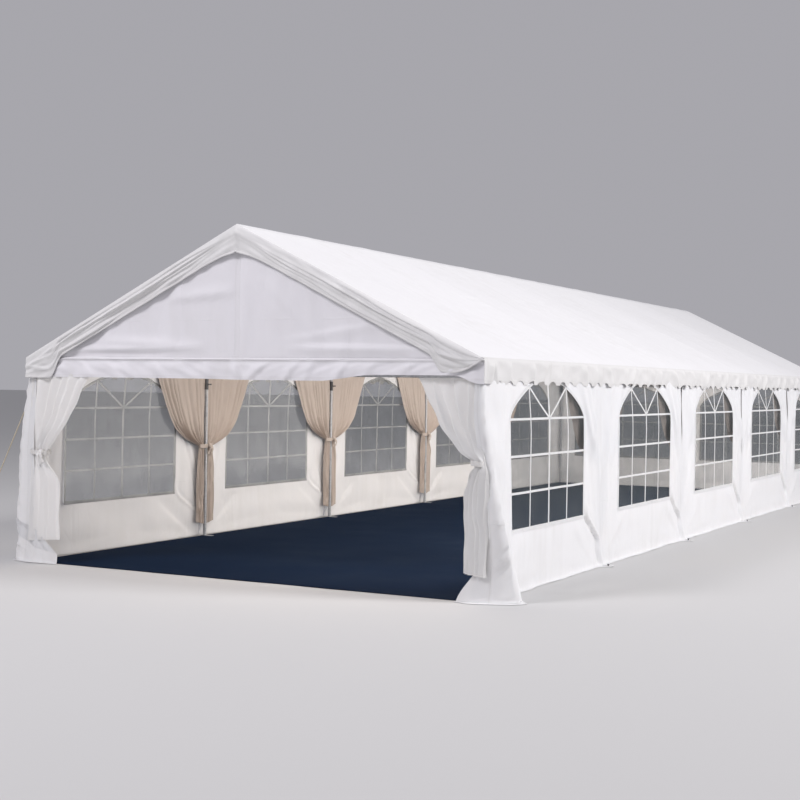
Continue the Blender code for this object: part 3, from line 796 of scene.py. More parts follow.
def wall_stand(s, h, away, seed, folded):
    """How far a wall stands out from its plane. folded says how deep the fold is that runs from the
    hole's lower corner to the foot of the post, on the low and on the high side."""
    to_post = 1.5 - np.abs(s)
    stand = 0.013 * uneven(s, h * 0.22, seed + 5, 0.24) * fade(-to_post, -0.60, -0.25) * fade(h, 0.10, 0.8)
    stand += 0.004 * uneven(s, h * 0.4, seed + 6, 0.55)
    draws = np.random.default_rng(seed + 4)
    for start, end, width, size in WALL_PULLS:
        for sign in (-1, 1):
            moved = draws.uniform(-0.08, 0.08)
            depth = size * draws.uniform(0.5, 1.2)
            stand += depth * pulled_fold(sign * s + moved, h, start, end, width)
    for sign, depth in zip((-1, 1), folded):
        centre = 0.985 + 0.43 * fade(0.60 - h, 0.0, 0.36) + 0.04 * fade(0.24 - h, 0.0, 0.24)
        off = sign * s - centre
        dip = 0.024 * hump(off - 0.065, 0.036) - 0.034 * hump(off, 0.026)
        stand += depth * dip * fade(-h, -0.74, -0.60) * fade(h, -0.02, 0.04)
    billow = np.sin(math.pi * np.clip(h / WINDOW_SILL, 0, 1)) * fade(to_post, 0.1, 0.6)
    stand += billow * (0.007 + 0.008 * uneven(s, h, seed + 7, 1.2))
    stand += 0.006 * uneven(s, h * 0.2, seed + 9, 0.24) * fade(h, WALL_TOP - 0.30, WALL_TOP - 0.05)
    return window_ripple(s, h, seed) + stand * fade(away, 0.0, 0.14)


def wall_seed(side, bay):
    return 100 + 20 * bay + (10 if side > 0 else 0)


def bay_middle(bay):
    return (FRAME_YS[bay] + FRAME_YS[bay + 1]) / 2


def front_pull(side, s, h, strip_edge):
    """How far a front panel's foot is pulled out from the tent, and how much the cloth hangs with
    that pull, which is 1 at the corner and fades along the side."""
    near_eave, at_ground, height, round_share = FRONT_PULLS[side]
    held = round_share if side < 0 else round_share * fade(h, -0.20, 0.90)
    round_corner = held + (1 - held) * np.clip((s + strip_edge) / (strip_edge - FRONT_TURN), 0, 1)
    along_side = hump(np.clip(s + FRONT_TURN, 0, None), 0.40)
    beside = np.where(s > -FRONT_TURN, along_side, round_corner)
    pull = near_eave * fade(WALL_TOP - h, 0.0, 0.30) + at_ground * np.clip(1 - h / height, 0, 1)
    tip = np.clip(-h, 0, None) * hump(s + 1.50, 0.12) * TIP
    return (pull + tip) * beside, beside


def side_wall(side, bay):
    """One bay's panel in its place, bent round the corner in the first bay."""
    first = bay == 0
    last = bay == len(FRAME_YS) - 2
    seed = wall_seed(side, bay)
    low_s = -FRONT_EDGES[side] if first else LOW_EDGE
    high_s = REAR_EDGE if last else HIGH_EDGE
    panel, s, h, away, from_edge = window_ring("wall", low_s, high_s, STRIP_SPREADS[side] if first else None)
    stand = wall_stand(s, h, away, seed, (0.0, 0.0 if last else FOLD_DEPTHS[side]))
    slits = POST_SLITS[side]
    gap = 0.040 * fade(0.30 - h, 0.0, 0.14) * (side > 0) + slits[bay + 1] * fade(h, 1.15, 1.75)
    shift = np.where(s > 0, -gap * (not last), 0.35 * slits[bay] * fade(h, 1.25, 1.80))
    shift = shift * fade(np.abs(s), 1.28, 1.5)
    stand = stand + np.where(s > 0, 0.007, -0.003) * fade(np.abs(s), 1.38, 1.47)
    x, y, out_x, out_y = wall_line(bay_middle(bay) + s + shift)
    to_post = 1.5 - np.abs(s)
    foot = np.clip(1 - h / 0.34, 0, 1) ** 1.8
    stand = stand + (0.028 + 0.030 * hump(to_post, 0.20) + 0.009 * uneven(s, s * 0, seed + 8, 0.8)) * foot
    stand = stand + np.clip(-h, 0, None) * (0.28 + 0.80 * hump(to_post, 0.085))
    if first:
        lean, beside = front_pull(side, s, h, FRONT_EDGES[side])
        stand = stand * (1 - 0.75 * beside * fade(0.4 - h, 0.0, 0.4))
        wrinkles = 0.011 * uneven(s * 1.6, h, seed + 12, 0.17)
        stand = stand + wrinkles * hump(s + 1.50, 0.09) * fade(h, 0.15, 0.5)
        x = x + lean
        y = y + 0.28 * lean * fade(0.9 - h, 0.0, 0.9)
    ground = CLOTH + 0.004 * np.clip(uneven(s, h, seed + 8, 0.35), 0, 1) * fade(-h, 0.02, 0.1)
    z = np.where(h > 0, h + CLOTH * (1 - fade(h, 0, 0.1)), ground)
    shape_sheet(panel, (side * (x + out_x * stand), y + out_y * stand, z), s, h,
                wall_hem(s, h, low_s, high_s, away, from_edge))
    return close_ring(panel)


for side, side_name in SIDES:
    for bay in range(5):
        node = "wall_" + side_name + "_" + str(bay + 1)
        panel = finish_sheet([side_wall(side, bay)], node + "_sheet", wall_cloth)
        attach(panel, "root")
        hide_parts(node)

# Windows
# A clear plastic sheet welded behind each hole. White strips welded on its outside divide it into
# small panes, with two slanting ones in the arch, and one more covers the weld round the edge.
STRIP = 0.022
MIDDLE_STRIP = 0.030
FILM = 0.001
STRIP_T = 0.0014
BAR_ACROSS = (-0.478, 0.0, 0.478)
BAR_HEIGHTS = (0.897, 1.233, 1.570)
BAR_SLANT = math.tan(math.radians(32))
LAP = 0.02
STRIP_WHITE = (0.95, 0.95, 0.94, 1)
FILM_DARK = (0.03, 0.045, 0.05, 1)
FILM_LIGHT = (0.10, 0.12, 0.125, 1)
FILM_IOR = 1.53
# How far out from the wall each layer lies.
FILM_OUT = -0.0019
UPRIGHT_OUT = -0.0005
LEVEL_OUT = 0.0004
SLANT_OUT = 0.0012
BORDER_OUT = 0.0024

clear_sheet, tree, shader = new_material("clear_sheet")
flat_map = coordinates(tree, "UV")
haze = noise(tree, flat_map, 3.0, 5.0)
pulls = noise(tree, stretched(tree, flat_map, (9.0, 1.2, 1.0)), 1.0, 2.0)
veil = map_value(tree, haze, 0.30, 0.75, 0.20, 0.28)
set_inputs(tree, shader, {
    "Base Color": mix_colours(tree, haze, FILM_DARK, FILM_LIGHT), "IOR": FILM_IOR,
    "Alpha": layered(tree, ((map_value(tree, pulls, 0.58, 0.72), 0.03),), veil),
    "Roughness": map_value(tree, haze, 0.3, 0.8, 0.05, 0.16),
    "Normal": relief(tree, math_node(tree, "MULTIPLY", pulls, 0.006))})

strip_plastic = cloth_material("window_strip", STRIP_WHITE, 0.15, 0.42, 2.0, 0.001, 0.004, threads=300.0,
                               glow=0.6)


def arch_height(s):
    under = max(0.0, 1 - abs(s / WINDOW_HALF) ** ARCH_ROUNDNESS)
    return WINDOW_SPRING + (WINDOW_TOP - WINDOW_SPRING) * under ** (1 / ARCH_ROUNDNESS)


def straight(start, end, count):
    return [(start[0] + (end[0] - start[0]) * step / count, start[1] + (end[1] - start[1]) * step / count)
            for step in range(count + 1)]


def strip_along(spot, path, width, out):
    """A flat strip that follows a path of (s, h) points over the clear sheet."""
    count = len(path) - 1
    strip, across, along = grid_sheet("strip", 2, count)
    step = np.rint(along * count).astype(int)
    points = np.array(path, dtype=float)
    ahead = np.gradient(points, axis=0)
    ahead = ahead / np.linalg.norm(ahead, axis=1)[:, None]
    reach = (across - 0.5) * width
    s = points[step, 0] - ahead[step, 1] * reach
    h = points[step, 1] + ahead[step, 0] * reach
    shape_sheet(strip, spot(s, h, out), reach, along * count * 0.05, width / 2 - np.abs(reach))
    return strip


slant_end = 0.0
while WINDOW_SPRING + slant_end * BAR_SLANT < arch_height(slant_end):
    slant_end += 0.002
border_path = straight((-WINDOW_HALF, WINDOW_SILL), (WINDOW_HALF, WINDOW_SILL), 30)
border_path += straight((WINDOW_HALF, WINDOW_SILL), (WINDOW_HALF, WINDOW_SPRING), 20)[1:]
border_path += [tuple(float(value) for value in arch_point(math.pi * step / 40)) for step in range(1, 41)]
border_path += straight((-WINDOW_HALF, WINDOW_SPRING), (-WINDOW_HALF, WINDOW_SILL), 20)[1:]


def hang_window(tag, spot):
    """One clear sheet with its bars; spot turns a place on the panel into a place on the tent."""
    film, across, along = grid_sheet("film", 30, 24)
    s = (2 * across - 1) * (WINDOW_HALF + LAP)
    arch = np.clip(1 - np.abs(2 * across - 1) ** ARCH_ROUNDNESS, 0, 1) ** (1 / ARCH_ROUNDNESS)
    top = WINDOW_SPRING + (WINDOW_TOP + LAP - WINDOW_SPRING) * arch
    h = WINDOW_SILL - LAP + along * (top - WINDOW_SILL + LAP)
    shape_sheet(film, spot(s, h, FILM_OUT), s, h, 0.5)
    film = finish_sheet([film], "window_" + tag + "_sheet", clear_sheet, FILM)
    paths = []
    for s in BAR_ACROSS:
        upright = straight((s, WINDOW_SILL), (s, arch_height(s)), 24)
        paths.append((upright, STRIP if s else MIDDLE_STRIP, UPRIGHT_OUT))
    for h in BAR_HEIGHTS:
        paths.append((straight((-WINDOW_HALF, h), (WINDOW_HALF, h), 30), STRIP, LEVEL_OUT))
    for turn in (-1, 1):
        end = (turn * slant_end, WINDOW_SPRING + slant_end * BAR_SLANT)
        paths.append((straight((0, WINDOW_SPRING), end, 12), STRIP, SLANT_OUT))
    paths.append((border_path, MIDDLE_STRIP, BORDER_OUT))
    strips = [strip_along(spot, path, width, out) for path, width, out in paths]
    bars = finish_sheet(strips, "window_bars_" + tag, strip_plastic, STRIP_T)
    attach(film, "root")
    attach(bars, "root")
    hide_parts("window_" + tag)


for side, side_name in SIDES:
    for bay in range(5):
        def side_spot(s, h, out, side=side, bay=bay):
            x, y, out_x, out_y = wall_line(bay_middle(bay) + s)
            stand = window_ripple(s, h, wall_seed(side, bay)) + out
            return side * (x + out_x * stand), y + out_y * stand, h

        tag = side_name + "_" + str(bay + 1)
        hang_window(tag, side_spot)

# Rear wall
# Two panels of the wall cloth, welded together down the middle, with a window in each. They hang from
# the last frame, and their feet are pegged like those of the sides.
REAR_FOOT_OUT = 0.2
REAR_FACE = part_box("wall_rear")[1][1] - REAR_FOOT_OUT - CLOTH
REAR_IN = 0.002
REAR_HALF = 2.527
REAR_WINDOW = 1.25
REAR_SEEDS = {-1: 301, 1: 331}


def rear_ripple(s, h, half):
    """How far the rear wall bellies out. It is flat along its outer edges."""
    return window_ripple(s, h, REAR_SEEDS[half]) * fade(REAR_HALF - np.abs(s + half * REAR_WINDOW), 0.0, 0.25)


halves = []
for half, seed in REAR_SEEDS.items():
    low_s = -REAR_HALF + REAR_WINDOW if half < 0 else -REAR_WINDOW
    high_s = REAR_WINDOW if half < 0 else REAR_HALF - REAR_WINDOW
    panel, s, h, away, from_edge = window_ring("wall_rear_half", low_s, high_s)
    ends = fade(s - low_s, 0.0, 0.08) * fade(high_s - s, 0.0, 0.08)
    folds = wall_stand(s * 1.18, h, away, seed, (0.0, 0.0)) - window_ripple(s * 1.18, h, seed)
    place_x = half * REAR_WINDOW + s
    foot = 0.05 + 0.010 * uneven(place_x, s * 0, 304, 0.9) + 0.04 * hump(np.abs(place_x) - 2.45, 0.2)
    stand = folds * ends + rear_ripple(s, h, half)
    stand += foot * np.clip(1 - h / 0.36, 0, 1) ** 1.8 + np.clip(-h, 0, None) * 0.35
    z = np.where(h > 0, h + CLOTH * (1 - fade(h, 0, 0.1)), CLOTH)
    shape_sheet(panel, (-place_x, REAR_FACE - REAR_IN + stand, z), place_x, h,
                wall_hem(s, h, low_s, high_s, away, from_edge))
    halves.append(close_ring(panel))
rear_wall = finish_sheet(halves, "wall_rear_sheet", wall_cloth)
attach(rear_wall, "root")
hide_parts("wall_rear")
for half, tag in ((-1, "rear_right"), (1, "rear_left")):
    def rear_spot(s, h, out, half=half):
        return -(half * REAR_WINDOW + s), REAR_FACE - REAR_IN + rear_ripple(s, h, half) + out, h

    hang_window(tag, rear_spot)

# Door curtains
# Two curtains of thin white cloth hang from the front tie tube beside the corner legs. Each is drawn
# into a strap at half height, sweeps in to it nearly straight, and falls from it in a few soft folds.
CURTAIN_WHITE = (0.91, 0.90, 0.885, 1)
CURTAIN_DUST = (0.66, 0.62, 0.56, 1)
CURTAIN_THREADS = 380.0
CURTAIN_CLOTH = 0.0015
CURTAIN_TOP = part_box("curtain_front_left")[1][2]
# The cloth ends a little above the solid's lower end, so that its folds stay off the ground.
CURTAIN_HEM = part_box("curtain_front_left")[0][2] + 0.07
CURTAIN_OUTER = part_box("curtain_front_right")[1][0]
DOOR_PLEATS = 5
DOOR_FULLNESS = 1.02
PLEAT_LEAN = 2.0
# For the left and the right curtain: where it is tied, its widths at the top, the strap and the tail,
# how it is drawn in, how deep its pleats are, and its strap.
TIE_HEIGHTS = {-1: 1.13, 1: 1.20}
CURTAIN_WIDTHS = {-1: (0.76, 0.21, 0.39), 1: (0.56, 0.085, 0.195)}
CURTAIN_DRAWN = {-1: (0.78, 4), 1: (0.82, 6)}
PLEAT_DEPTHS = {-1: (0.015, 0.019), 1: (0.019, 0.020)}
# How far its outer edge lies past the leg, and how far before it, above the strap and more at the strap.
CURTAIN_PAST = {-1: (0.046, 0.0), 1: (0.012, 0.120)}
CURTAIN_BEFORE = {-1: (0.040, 0.0), 1: (0.002, 0.052)}
# The strap's middle across the tent and before the leg, half its width and depth, and its knot's side.
DOOR_STRAPS = {-1: (2.404, 0.022, 0.122, 0.050, -1), 1: (2.512, 0.030, 0.062, 0.054, 1)}
STRAP_WIDTH = 0.045
STRAP_CLOTH = 0.0018
STRAP_HEM = 0.02
TAIL_WIDTH = 0.026
TAIL_LENGTH = 0.11
KNOT_SIZE = 0.036
KNOT_OUT = 0.006

curtain_cloth = cloth_material("curtain_cloth", CURTAIN_WHITE, 0.14, 0.72, 0.9, 0.004, 0.025,
                               dust=CURTAIN_DUST, threads=CURTAIN_THREADS, glow=0.3, facets=9.0)


def gathered(widths, heights, drawn, pleats, fullness, depths, seed, columns, rows, lean=0.0):
    """A curtain that a strap gathers. widths are at the top, the strap and the tail, from the post;
    drawn is how much of the way in runs straight and how late the rest turns. The flat cloth keeps
    its width, so the pleats deepen as the curtain narrows; depths limits them above and below. With
    lean the pleats lie over one another, as in soft cloth."""
    top_width, tie_width, tail_width = widths
    top, tie, hem_height = heights
    curtain, across, along = grid_sheet("curtain", columns, rows)
    down = 1 - along
    z = top - down * (top - hem_height)
    fall = np.clip((top - z) / (top - tie), 0, 1)
    width = tie_width + (top_width - tie_width) * (1 - drawn[0] * fall - (1 - drawn[0]) * fall ** drawn[1])
    below = fade(tie - z, 0.01, 0.30)
    width = np.where(z < tie, tie_width + (tail_width - tie_width) * below, width)
    pinch = hump(z - tie, 0.05)
    flat_width = top_width * fullness
    full_depth = np.sqrt(np.clip((flat_width / pleats) ** 2 - (width / pleats) ** 2, 0, None)) / 3.8
    limit = depths[0] + (depths[1] - depths[0]) * fade(fall, 0.55, 1.0)
    depth = np.minimum(full_depth, limit - 0.006 * pinch)
    spread = across + 0.04 * np.sin(2 * math.pi * (1.4 * across + seed * 0.37)) + 0.014 * np.sin(
        2 * math.pi * (4.0 * across + seed * 0.21))
    phase = 2 * math.pi * pleats * spread + 1.2 * uneven(across * 0.7, z, seed, 1.2)
    wave = np.sin(phase + 0.45 * np.sin(phase)) * (0.8 + 0.5 * uneven(across * 2.5, z * 0.4, seed + 9, 0.9))
    crowded = 0.40 * fade(fall, 0.45, 0.9) * (1 - 0.7 * below)
    wave = wave * (1 - 0.35 * crowded) + crowded * np.sin(2 * phase + 1.3 + 0.5 * np.sin(phase))
    edges = 0.35 + 0.65 * fade(np.minimum(across, 1 - across), 0.0, 0.05)
    out = depth * wave * edges * (0.5 + 0.5 * fade(down, 0.0, 0.05))
    out = out + 0.004 * uneven(across * width * 2, z, seed + 3, 0.35) * (1 - pinch)
    if lean:
        reach = across * width + lean * out * (1 - 0.7 * pinch)
    else:
        reach = across * width + depth * 0.35 * np.cos(phase) * (1 - fade(np.abs(2 * across - 1), 0.8, 1.0))
    slack = 0.03 * across * fade(down, 0.8, 1.0)
    length = (top - hem_height) * 1.05
    hem = np.minimum(np.minimum(across, 1 - across) * flat_width, np.minimum(down, 1 - down) * length)
    return curtain, reach, out, z + slack, across * flat_width, along * length, hem


def strap_tail(start, facing, way):
    """One loose end of a strap: a ribbon that leaves the knot, bends over and hangs."""
    ribbon, across, along = grid_sheet("strap_tail", 4, 14)
    wide = (across - 0.5) * TAIL_WIDTH * (0.55 + 0.45 * fade(along, 0.0, 0.3))
    sideways = way * (0.008 + 0.030 * along) + wide
    out = 0.012 + 0.022 * np.sin(math.pi * np.clip(along * 1.2, 0, 1)) + 0.003 * np.sin(9 * along + way)
    x = start[0] + facing[0] * out - facing[1] * sideways
    y = start[1] + facing[1] * out + facing[0] * sideways
    z = start[2] - 0.10 * along ** 1.3 + 0.006 * way * across
    shape_sheet(ribbon, (x, y, z), wide, along * TAIL_LENGTH, TAIL_WIDTH / 2 - np.abs(wide))
    return ribbon


def strap_round(name, centre, half_long, half_deep, height, along_axis, knot, facing, material):
    """A cloth strap round a bundle and its post, knotted in front, with two loose ends."""
    let_go()
    bpy.ops.mesh.primitive_cylinder_add(vertices=56, radius=1.0, depth=STRAP_WIDTH, end_fill_type="NOTHING")
    strap = bpy.context.object
    bpy.ops.object.mode_set(mode="EDIT")
    bpy.ops.mesh.select_all(action="SELECT")
    bpy.ops.mesh.subdivide(number_cuts=2)
    bpy.ops.object.mode_set(mode="OBJECT")
    for point in strap.data.vertices:
        turn = math.atan2(point.co.y, point.co.x)
        swell = 1 + 0.03 * math.sin(5 * turn) + 0.02 * math.sin(9 * turn + 1)
        long = swell * half_long * math.copysign(abs(math.cos(turn)) ** 0.62, math.cos(turn))
        deep = swell * half_deep * math.copysign(abs(math.sin(turn)) ** 0.75, math.sin(turn))
        lean = 0.006 * math.sin(turn * 2 + 0.5)
        x, y = (long, deep) if along_axis == "X" else (deep, long)
        point.co = (centre[0] + x, centre[1] + y, height + point.co.z + lean)
    mark(strap, "hem", STRAP_HEM)
    bpy.ops.mesh.primitive_cube_add(size=KNOT_SIZE, location=knot)
    lump = bpy.context.object
    bpy.ops.object.mode_set(mode="EDIT")
    bpy.ops.mesh.subdivide(number_cuts=4, smoothness=1.0)
    bpy.ops.transform.resize(value=(0.9, 0.9, 1.15))
    bpy.ops.object.mode_set(mode="OBJECT")
    apply_place()
    for point in lump.data.vertices:
        off = abs(point.co.z - knot[2])
        point.co.x = knot[0] + (point.co.x - knot[0]) * (1 - 18 * off)
        point.co.z += 0.002 * math.sin(300 * (point.co.x + point.co.y))
    tails = [strap_tail(knot, facing, way) for way in (-1, 1)]
    strap = finish_sheet([strap] + tails, name, material, STRAP_CLOTH)
    lump.data.materials.append(material)
    return join_pieces([strap, lump])


for side, side_name in SIDES:
    node = "curtain_front_" + side_name
    widths = CURTAIN_WIDTHS[side]
    tie_height = TIE_HEIGHTS[side]
    made = gathered(widths, (CURTAIN_TOP, tie_height, CURTAIN_HEM), CURTAIN_DRAWN[side], DOOR_PLEATS,
                    DOOR_FULLNESS, PLEAT_DEPTHS[side], 61 + side, 110, 66, -PLEAT_LEAN * side)
    curtain, reach, out, z, flat_across, flat_along, hem = made
    at_strap = fade(tie_height - z, -0.35, 0.10)
    past = CURTAIN_PAST[side][0] + CURTAIN_PAST[side][1] * at_strap
    before = CURTAIN_BEFORE[side][0] + CURTAIN_BEFORE[side][1] * at_strap
    place = (side * (CURTAIN_OUTER + past - reach), FRAME_YS[0] - before + out, z)
    shape_sheet(curtain, place, flat_across, flat_along, hem)
    curtain = finish_sheet([curtain], node + "_sheet", curtain_cloth, CURTAIN_CLOTH)
    strap_x, strap_before, strap_half, strap_deep, facing = DOOR_STRAPS[side]
    strap_y = FRAME_YS[0] - strap_before
    knot = (side * (strap_x - 0.45 * strap_half), strap_y + facing * (strap_deep + KNOT_OUT), tie_height)
    strap = strap_round("door_strap_" + side_name, (side * strap_x, strap_y), strap_half, strap_deep,
                        tie_height, "X", knot, (0, facing), curtain_cloth)
    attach(curtain, "root")
    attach(strap, "root")
    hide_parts(node)

# Leg curtains
# A pair of curtains in a warmer cloth hangs on the wall behind each inner leg, as on a stage, nearly
# flat above, and one strap ties both to the leg.
SWAG_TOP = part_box("swag_left_2")[1][2]
SWAG_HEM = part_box("swag_left_2")[0][2]
SWAG_X = 2.506
SWAG_START = 0.028
SWAG_TIE = 1.10
SWAG_WIDTHS = (0.98, 0.10, 0.14)
SWAG_DRAWN = (0.54, 8)
SWAG_PLEATS = 9
SWAG_DEPTHS = (0.012, 0.020)
SWAG_BACK = -0.03
SWAG_FRONT = 0.018
SWAG_SAND = (0.54, 0.465, 0.415, 1)
# The strap's middle, half its width and depth, and where its knot lies.
SWAG_STRAP = (2.4985, 0.130, 0.029)
SWAG_KNOT = (2.462, 0.030)

swag_cloth = cloth_material("swag_cloth", SWAG_SAND, 0.20, 0.74, 0.9, 0.003, 0.05, dust=CURTAIN_DUST,
                            threads=CURTAIN_THREADS)

for side, side_name in SIDES:
    for leg in range(1, 5):
        tag = side_name + "_" + str(leg + 1)
        leg_y = FRAME_YS[leg]
        halves = []
        for way in (-1, 1):
            seed = 71 + 4 * leg + way + 20 * side
            made = gathered(SWAG_WIDTHS, (SWAG_TOP, SWAG_TIE, SWAG_HEM), SWAG_DRAWN, SWAG_PLEATS, 1.0,
                            SWAG_DEPTHS, seed, 84, 46)
            curtain, reach, out, z, flat_across, flat_along, hem = made
            place_x = side * (SWAG_X + np.clip(out, SWAG_BACK, SWAG_FRONT))
            place_y = leg_y + way * (SWAG_START + reach)
            shape_sheet(curtain, (place_x, place_y, z), flat_across, flat_along, hem)
            halves.append(curtain)
        pair = finish_sheet(halves, "swag_" + tag + "_sheet", swag_cloth, CURTAIN_CLOTH)
        knot = (side * SWAG_KNOT[0], leg_y + SWAG_KNOT[1], SWAG_TIE)
        strap = strap_round("leg_strap_" + tag, (side * SWAG_STRAP[0], leg_y), SWAG_STRAP[1], SWAG_STRAP[2],
                            SWAG_TIE, "Y", knot, (-side, 0), swag_cloth)
        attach(pair, "root")
        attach(strap, "root")
        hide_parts("swag_" + tag)

# Floor matting
# Dark blue needled matting in strips laid side by side from wall to wall, with slight ripples.
MAT_X, MAT_Y, MAT_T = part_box("floor_carpet")[1]
MAT_STRIP = 2.0
MAT_START = 7.53
MAT_SIDE_GAP = 0.012
MAT_END_GAP = 0.004
NAVY_DARK = (0.002, 0.007, 0.020, 1)
NAVY_LIGHT = (0.007, 0.019, 0.048, 1)
NAVY_TRODDEN = (0.010, 0.021, 0.042, 1)
NAVY_SEAM = (0.002, 0.004, 0.012, 1)
LINT = (0.16, 0.16, 0.16, 1)

matting, tree, shader = new_material("carpet")
room = coordinates(tree, "Object")
fibres = noise(tree, room, 420.0, 3.0, Roughness=0.7)
tufts = add_node(tree, "ShaderNodeTexVoronoi", {"Vector": room, "Scale": 160.0}).outputs["Distance"]
tread = noise(tree, room, 1.1, 5.0)
lint = noise(tree, room, 38.0, 2.0)
from_end = math_node(tree, "ADD", part_of(tree, room, "Y"), MAT_START)
seam = map_value(tree, math_node(tree, "PINGPONG", from_end, MAT_STRIP), 0.002, 0.006, 1.0, 0.0)
navy = mix_colours(tree, fibres, NAVY_DARK, NAVY_LIGHT)
navy = mix_colours(tree, map_value(tree, tread, 0.45, 0.75, 0.0, 0.30), navy, NAVY_TRODDEN)
navy = mix_colours(tree, map_value(tree, lint, 0.72, 0.80, 0.0, 0.18), navy, LINT)
navy = mix_colours(tree, math_node(tree, "MULTIPLY", seam, 0.8), navy, NAVY_SEAM)
set_inputs(tree, shader, {
    "Base Color": navy, "Roughness": map_value(tree, tread, 0.3, 0.8, 0.99, 0.90),
    "Specular IOR Level": 0.04,
    "Normal": relief(tree, layered(tree, ((fibres, 0.0012), (tufts, 0.0015), (seam, -0.003))))})

mat_sheet, across, along = grid_sheet("matting_sheet", 60, 120)
x = (2 * across - 1) * (MAT_X - MAT_SIDE_GAP)
y = (2 * along - 1) * (MAT_Y - MAT_END_GAP)
ripple = np.clip(uneven(x * 0.5, y, 401, 0.9), 0, 2) * 0.004
ripple += np.clip(uneven(x, y * 0.4, 402, 1.6), 0, 2) * 0.002
inside = fade(MAT_X - np.abs(x), 0.05, 0.4) * fade(MAT_Y - np.abs(y), 0.0, 0.25)
y = y + 0.006 * uneven(x, x * 0, 403, 0.8) * fade(np.abs(y), MAT_Y - 0.4, MAT_Y) * -np.sign(y)
shape_sheet(mat_sheet, (x, y, MAT_T / 2 + ripple * inside), x, y, MAT_X - np.abs(x))
mat_sheet = finish_sheet([mat_sheet], "matting_sheet", matting, MAT_T * 0.9)
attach(mat_sheet, "root")
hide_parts("floor_carpet")

# Steel frame
# Galvanised steel tube: zinc spangle, dull white bloom and a few scratches. The fittings are of a
# darker forged steel.
SCUFFED = (0.16, 0.14, 0.12, 1)


def steel_material(name, dark, light, bloomed, dullness):
    """Zinc-coated steel with its spangle, bloom, scuffs and scratches."""
    steel, tree, shader = new_material(name)
    room = coordinates(tree, "Object")
    spangle = add_node(tree, "ShaderNodeTexVoronoi", {"Vector": room, "Scale": 70.0, "Randomness": 1.0})
    grains = add_node(tree, "ShaderNodeSeparateColor", {"Color": spangle.outputs["Color"]}).outputs[0]
    bloom = noise(tree, room, 5.0, 6.0)
    scuffs = noise(tree, room, 55.0, 8.0, Roughness=0.7)
    zinc = mix_colours(tree, grains, dark, light)
    zinc = mix_colours(tree, map_value(tree, bloom, 0.50, 0.72, 0.0, 0.7), zinc, bloomed)
    zinc = mix_colours(tree, map_value(tree, scuffs, 0.66, 0.72, 0.0, 0.5), zinc, SCUFFED)
    set_inputs(tree, shader, {
        "Base Color": zinc, "Metallic": map_value(tree, bloom, 0.45, 0.75, 0.95, 0.45),
        "Roughness": layered(tree, ((grains, 0.14), (bloom, 0.25)), dullness),
        "Normal": relief(tree, layered(tree, ((grains, 0.0001), (scuffs, 0.0004))))})
    return steel


galvanised = steel_material("galvanised_steel", (0.38, 0.39, 0.41, 1), (0.54, 0.55, 0.57, 1),
                            (0.62, 0.62, 0.61, 1), 0.34)
forged = steel_material("forged_steel", (0.07, 0.07, 0.075, 1), (0.12, 0.12, 0.125, 1),
                        (0.20, 0.20, 0.20, 1), 0.36)
for node in FRAME_NODES + ("ridge_tube", "eave_tube_left", "eave_tube_right"):
    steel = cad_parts[node]
    steel.data.materials.clear()
    steel.data.materials.append(galvanised)

# Leg clamps
# A dark steel sleeve clamps each leg's telescoping joint under the eave. Its hand bolt has two wings.
# The wings of the front legs' bolts face along the tent, and the others' face its middle.
LEG_X = 2.5
SLEEVE_R = 0.0255
SLEEVE_LOW = 1.785
SLEEVE_HIGH = 1.905
SLEEVE_WALL = 0.0035
LIP_R = 0.0032
BOLT_R = 0.0065
BOLT_LENGTH = 0.026
BOLT_OUT = 0.010
WINGS_OUT = 0.010
WINGS_SIZE = (0.006, 0.050, 0.016)
EDGE_ROUND = 0.0012


def leg_clamp(x, y, facing):
    """A sleeve with a rolled lip at both ends, and its winged hand bolt on the side it faces."""
    middle = (SLEEVE_LOW + SLEEVE_HIGH) / 2
    bolt_x = SLEEVE_R + BOLT_OUT
    let_go()
    bpy.ops.mesh.primitive_cylinder_add(vertices=28, radius=SLEEVE_R, depth=SLEEVE_HIGH - SLEEVE_LOW,
                                        end_fill_type="NOTHING", location=(0, 0, middle))
    shapes = [bpy.context.object]
    apply_modifier(shapes[0], "SOLIDIFY", thickness=SLEEVE_WALL, offset=-1.0)
    for z in (SLEEVE_LOW, SLEEVE_HIGH):
        bpy.ops.mesh.primitive_torus_add(major_radius=SLEEVE_R, minor_radius=LIP_R, major_segments=28,
                                         minor_segments=8, location=(0, 0, z))
        shapes.append(bpy.context.object)
    bpy.ops.mesh.primitive_cylinder_add(vertices=16, radius=BOLT_R, depth=BOLT_LENGTH,
                                        location=(bolt_x, 0, middle), rotation=(0, math.pi / 2, 0))
    bolt = bpy.context.object
    bpy.ops.mesh.primitive_cube_add(size=1.0, location=(bolt_x + WINGS_OUT, 0, middle), scale=WINGS_SIZE)
    wings = bpy.context.object
    apply_place()
    bpy.ops.object.mode_set(mode="EDIT")
    bpy.ops.mesh.subdivide(number_cuts=4)
    bpy.ops.object.mode_set(mode="OBJECT")
    for point in wings.data.vertices:
        off = abs(point.co.y) / (WINGS_SIZE[1] / 2)
        point.co.z = middle + (point.co.z - middle) * (0.7 + 0.6 * off)
        point.co.x += 0.010 * off ** 2
    for shape in (bolt, wings):
        bpy.context.view_layer.objects.active = shape
        apply_modifier(shape, "BEVEL", width=EDGE_ROUND, segments=2)
    clamp = join_pieces(shapes + [bolt, wings])
    apply_place()
    bpy.ops.object.shade_smooth_by_angle(angle=math.radians(40))
    for point in clamp.data.vertices:
        out, beside = point.co.x, point.co.y
        point.co.x = x + facing[0] * out - facing[1] * beside
        point.co.y = y + facing[1] * out + facing[0] * beside
    return clamp


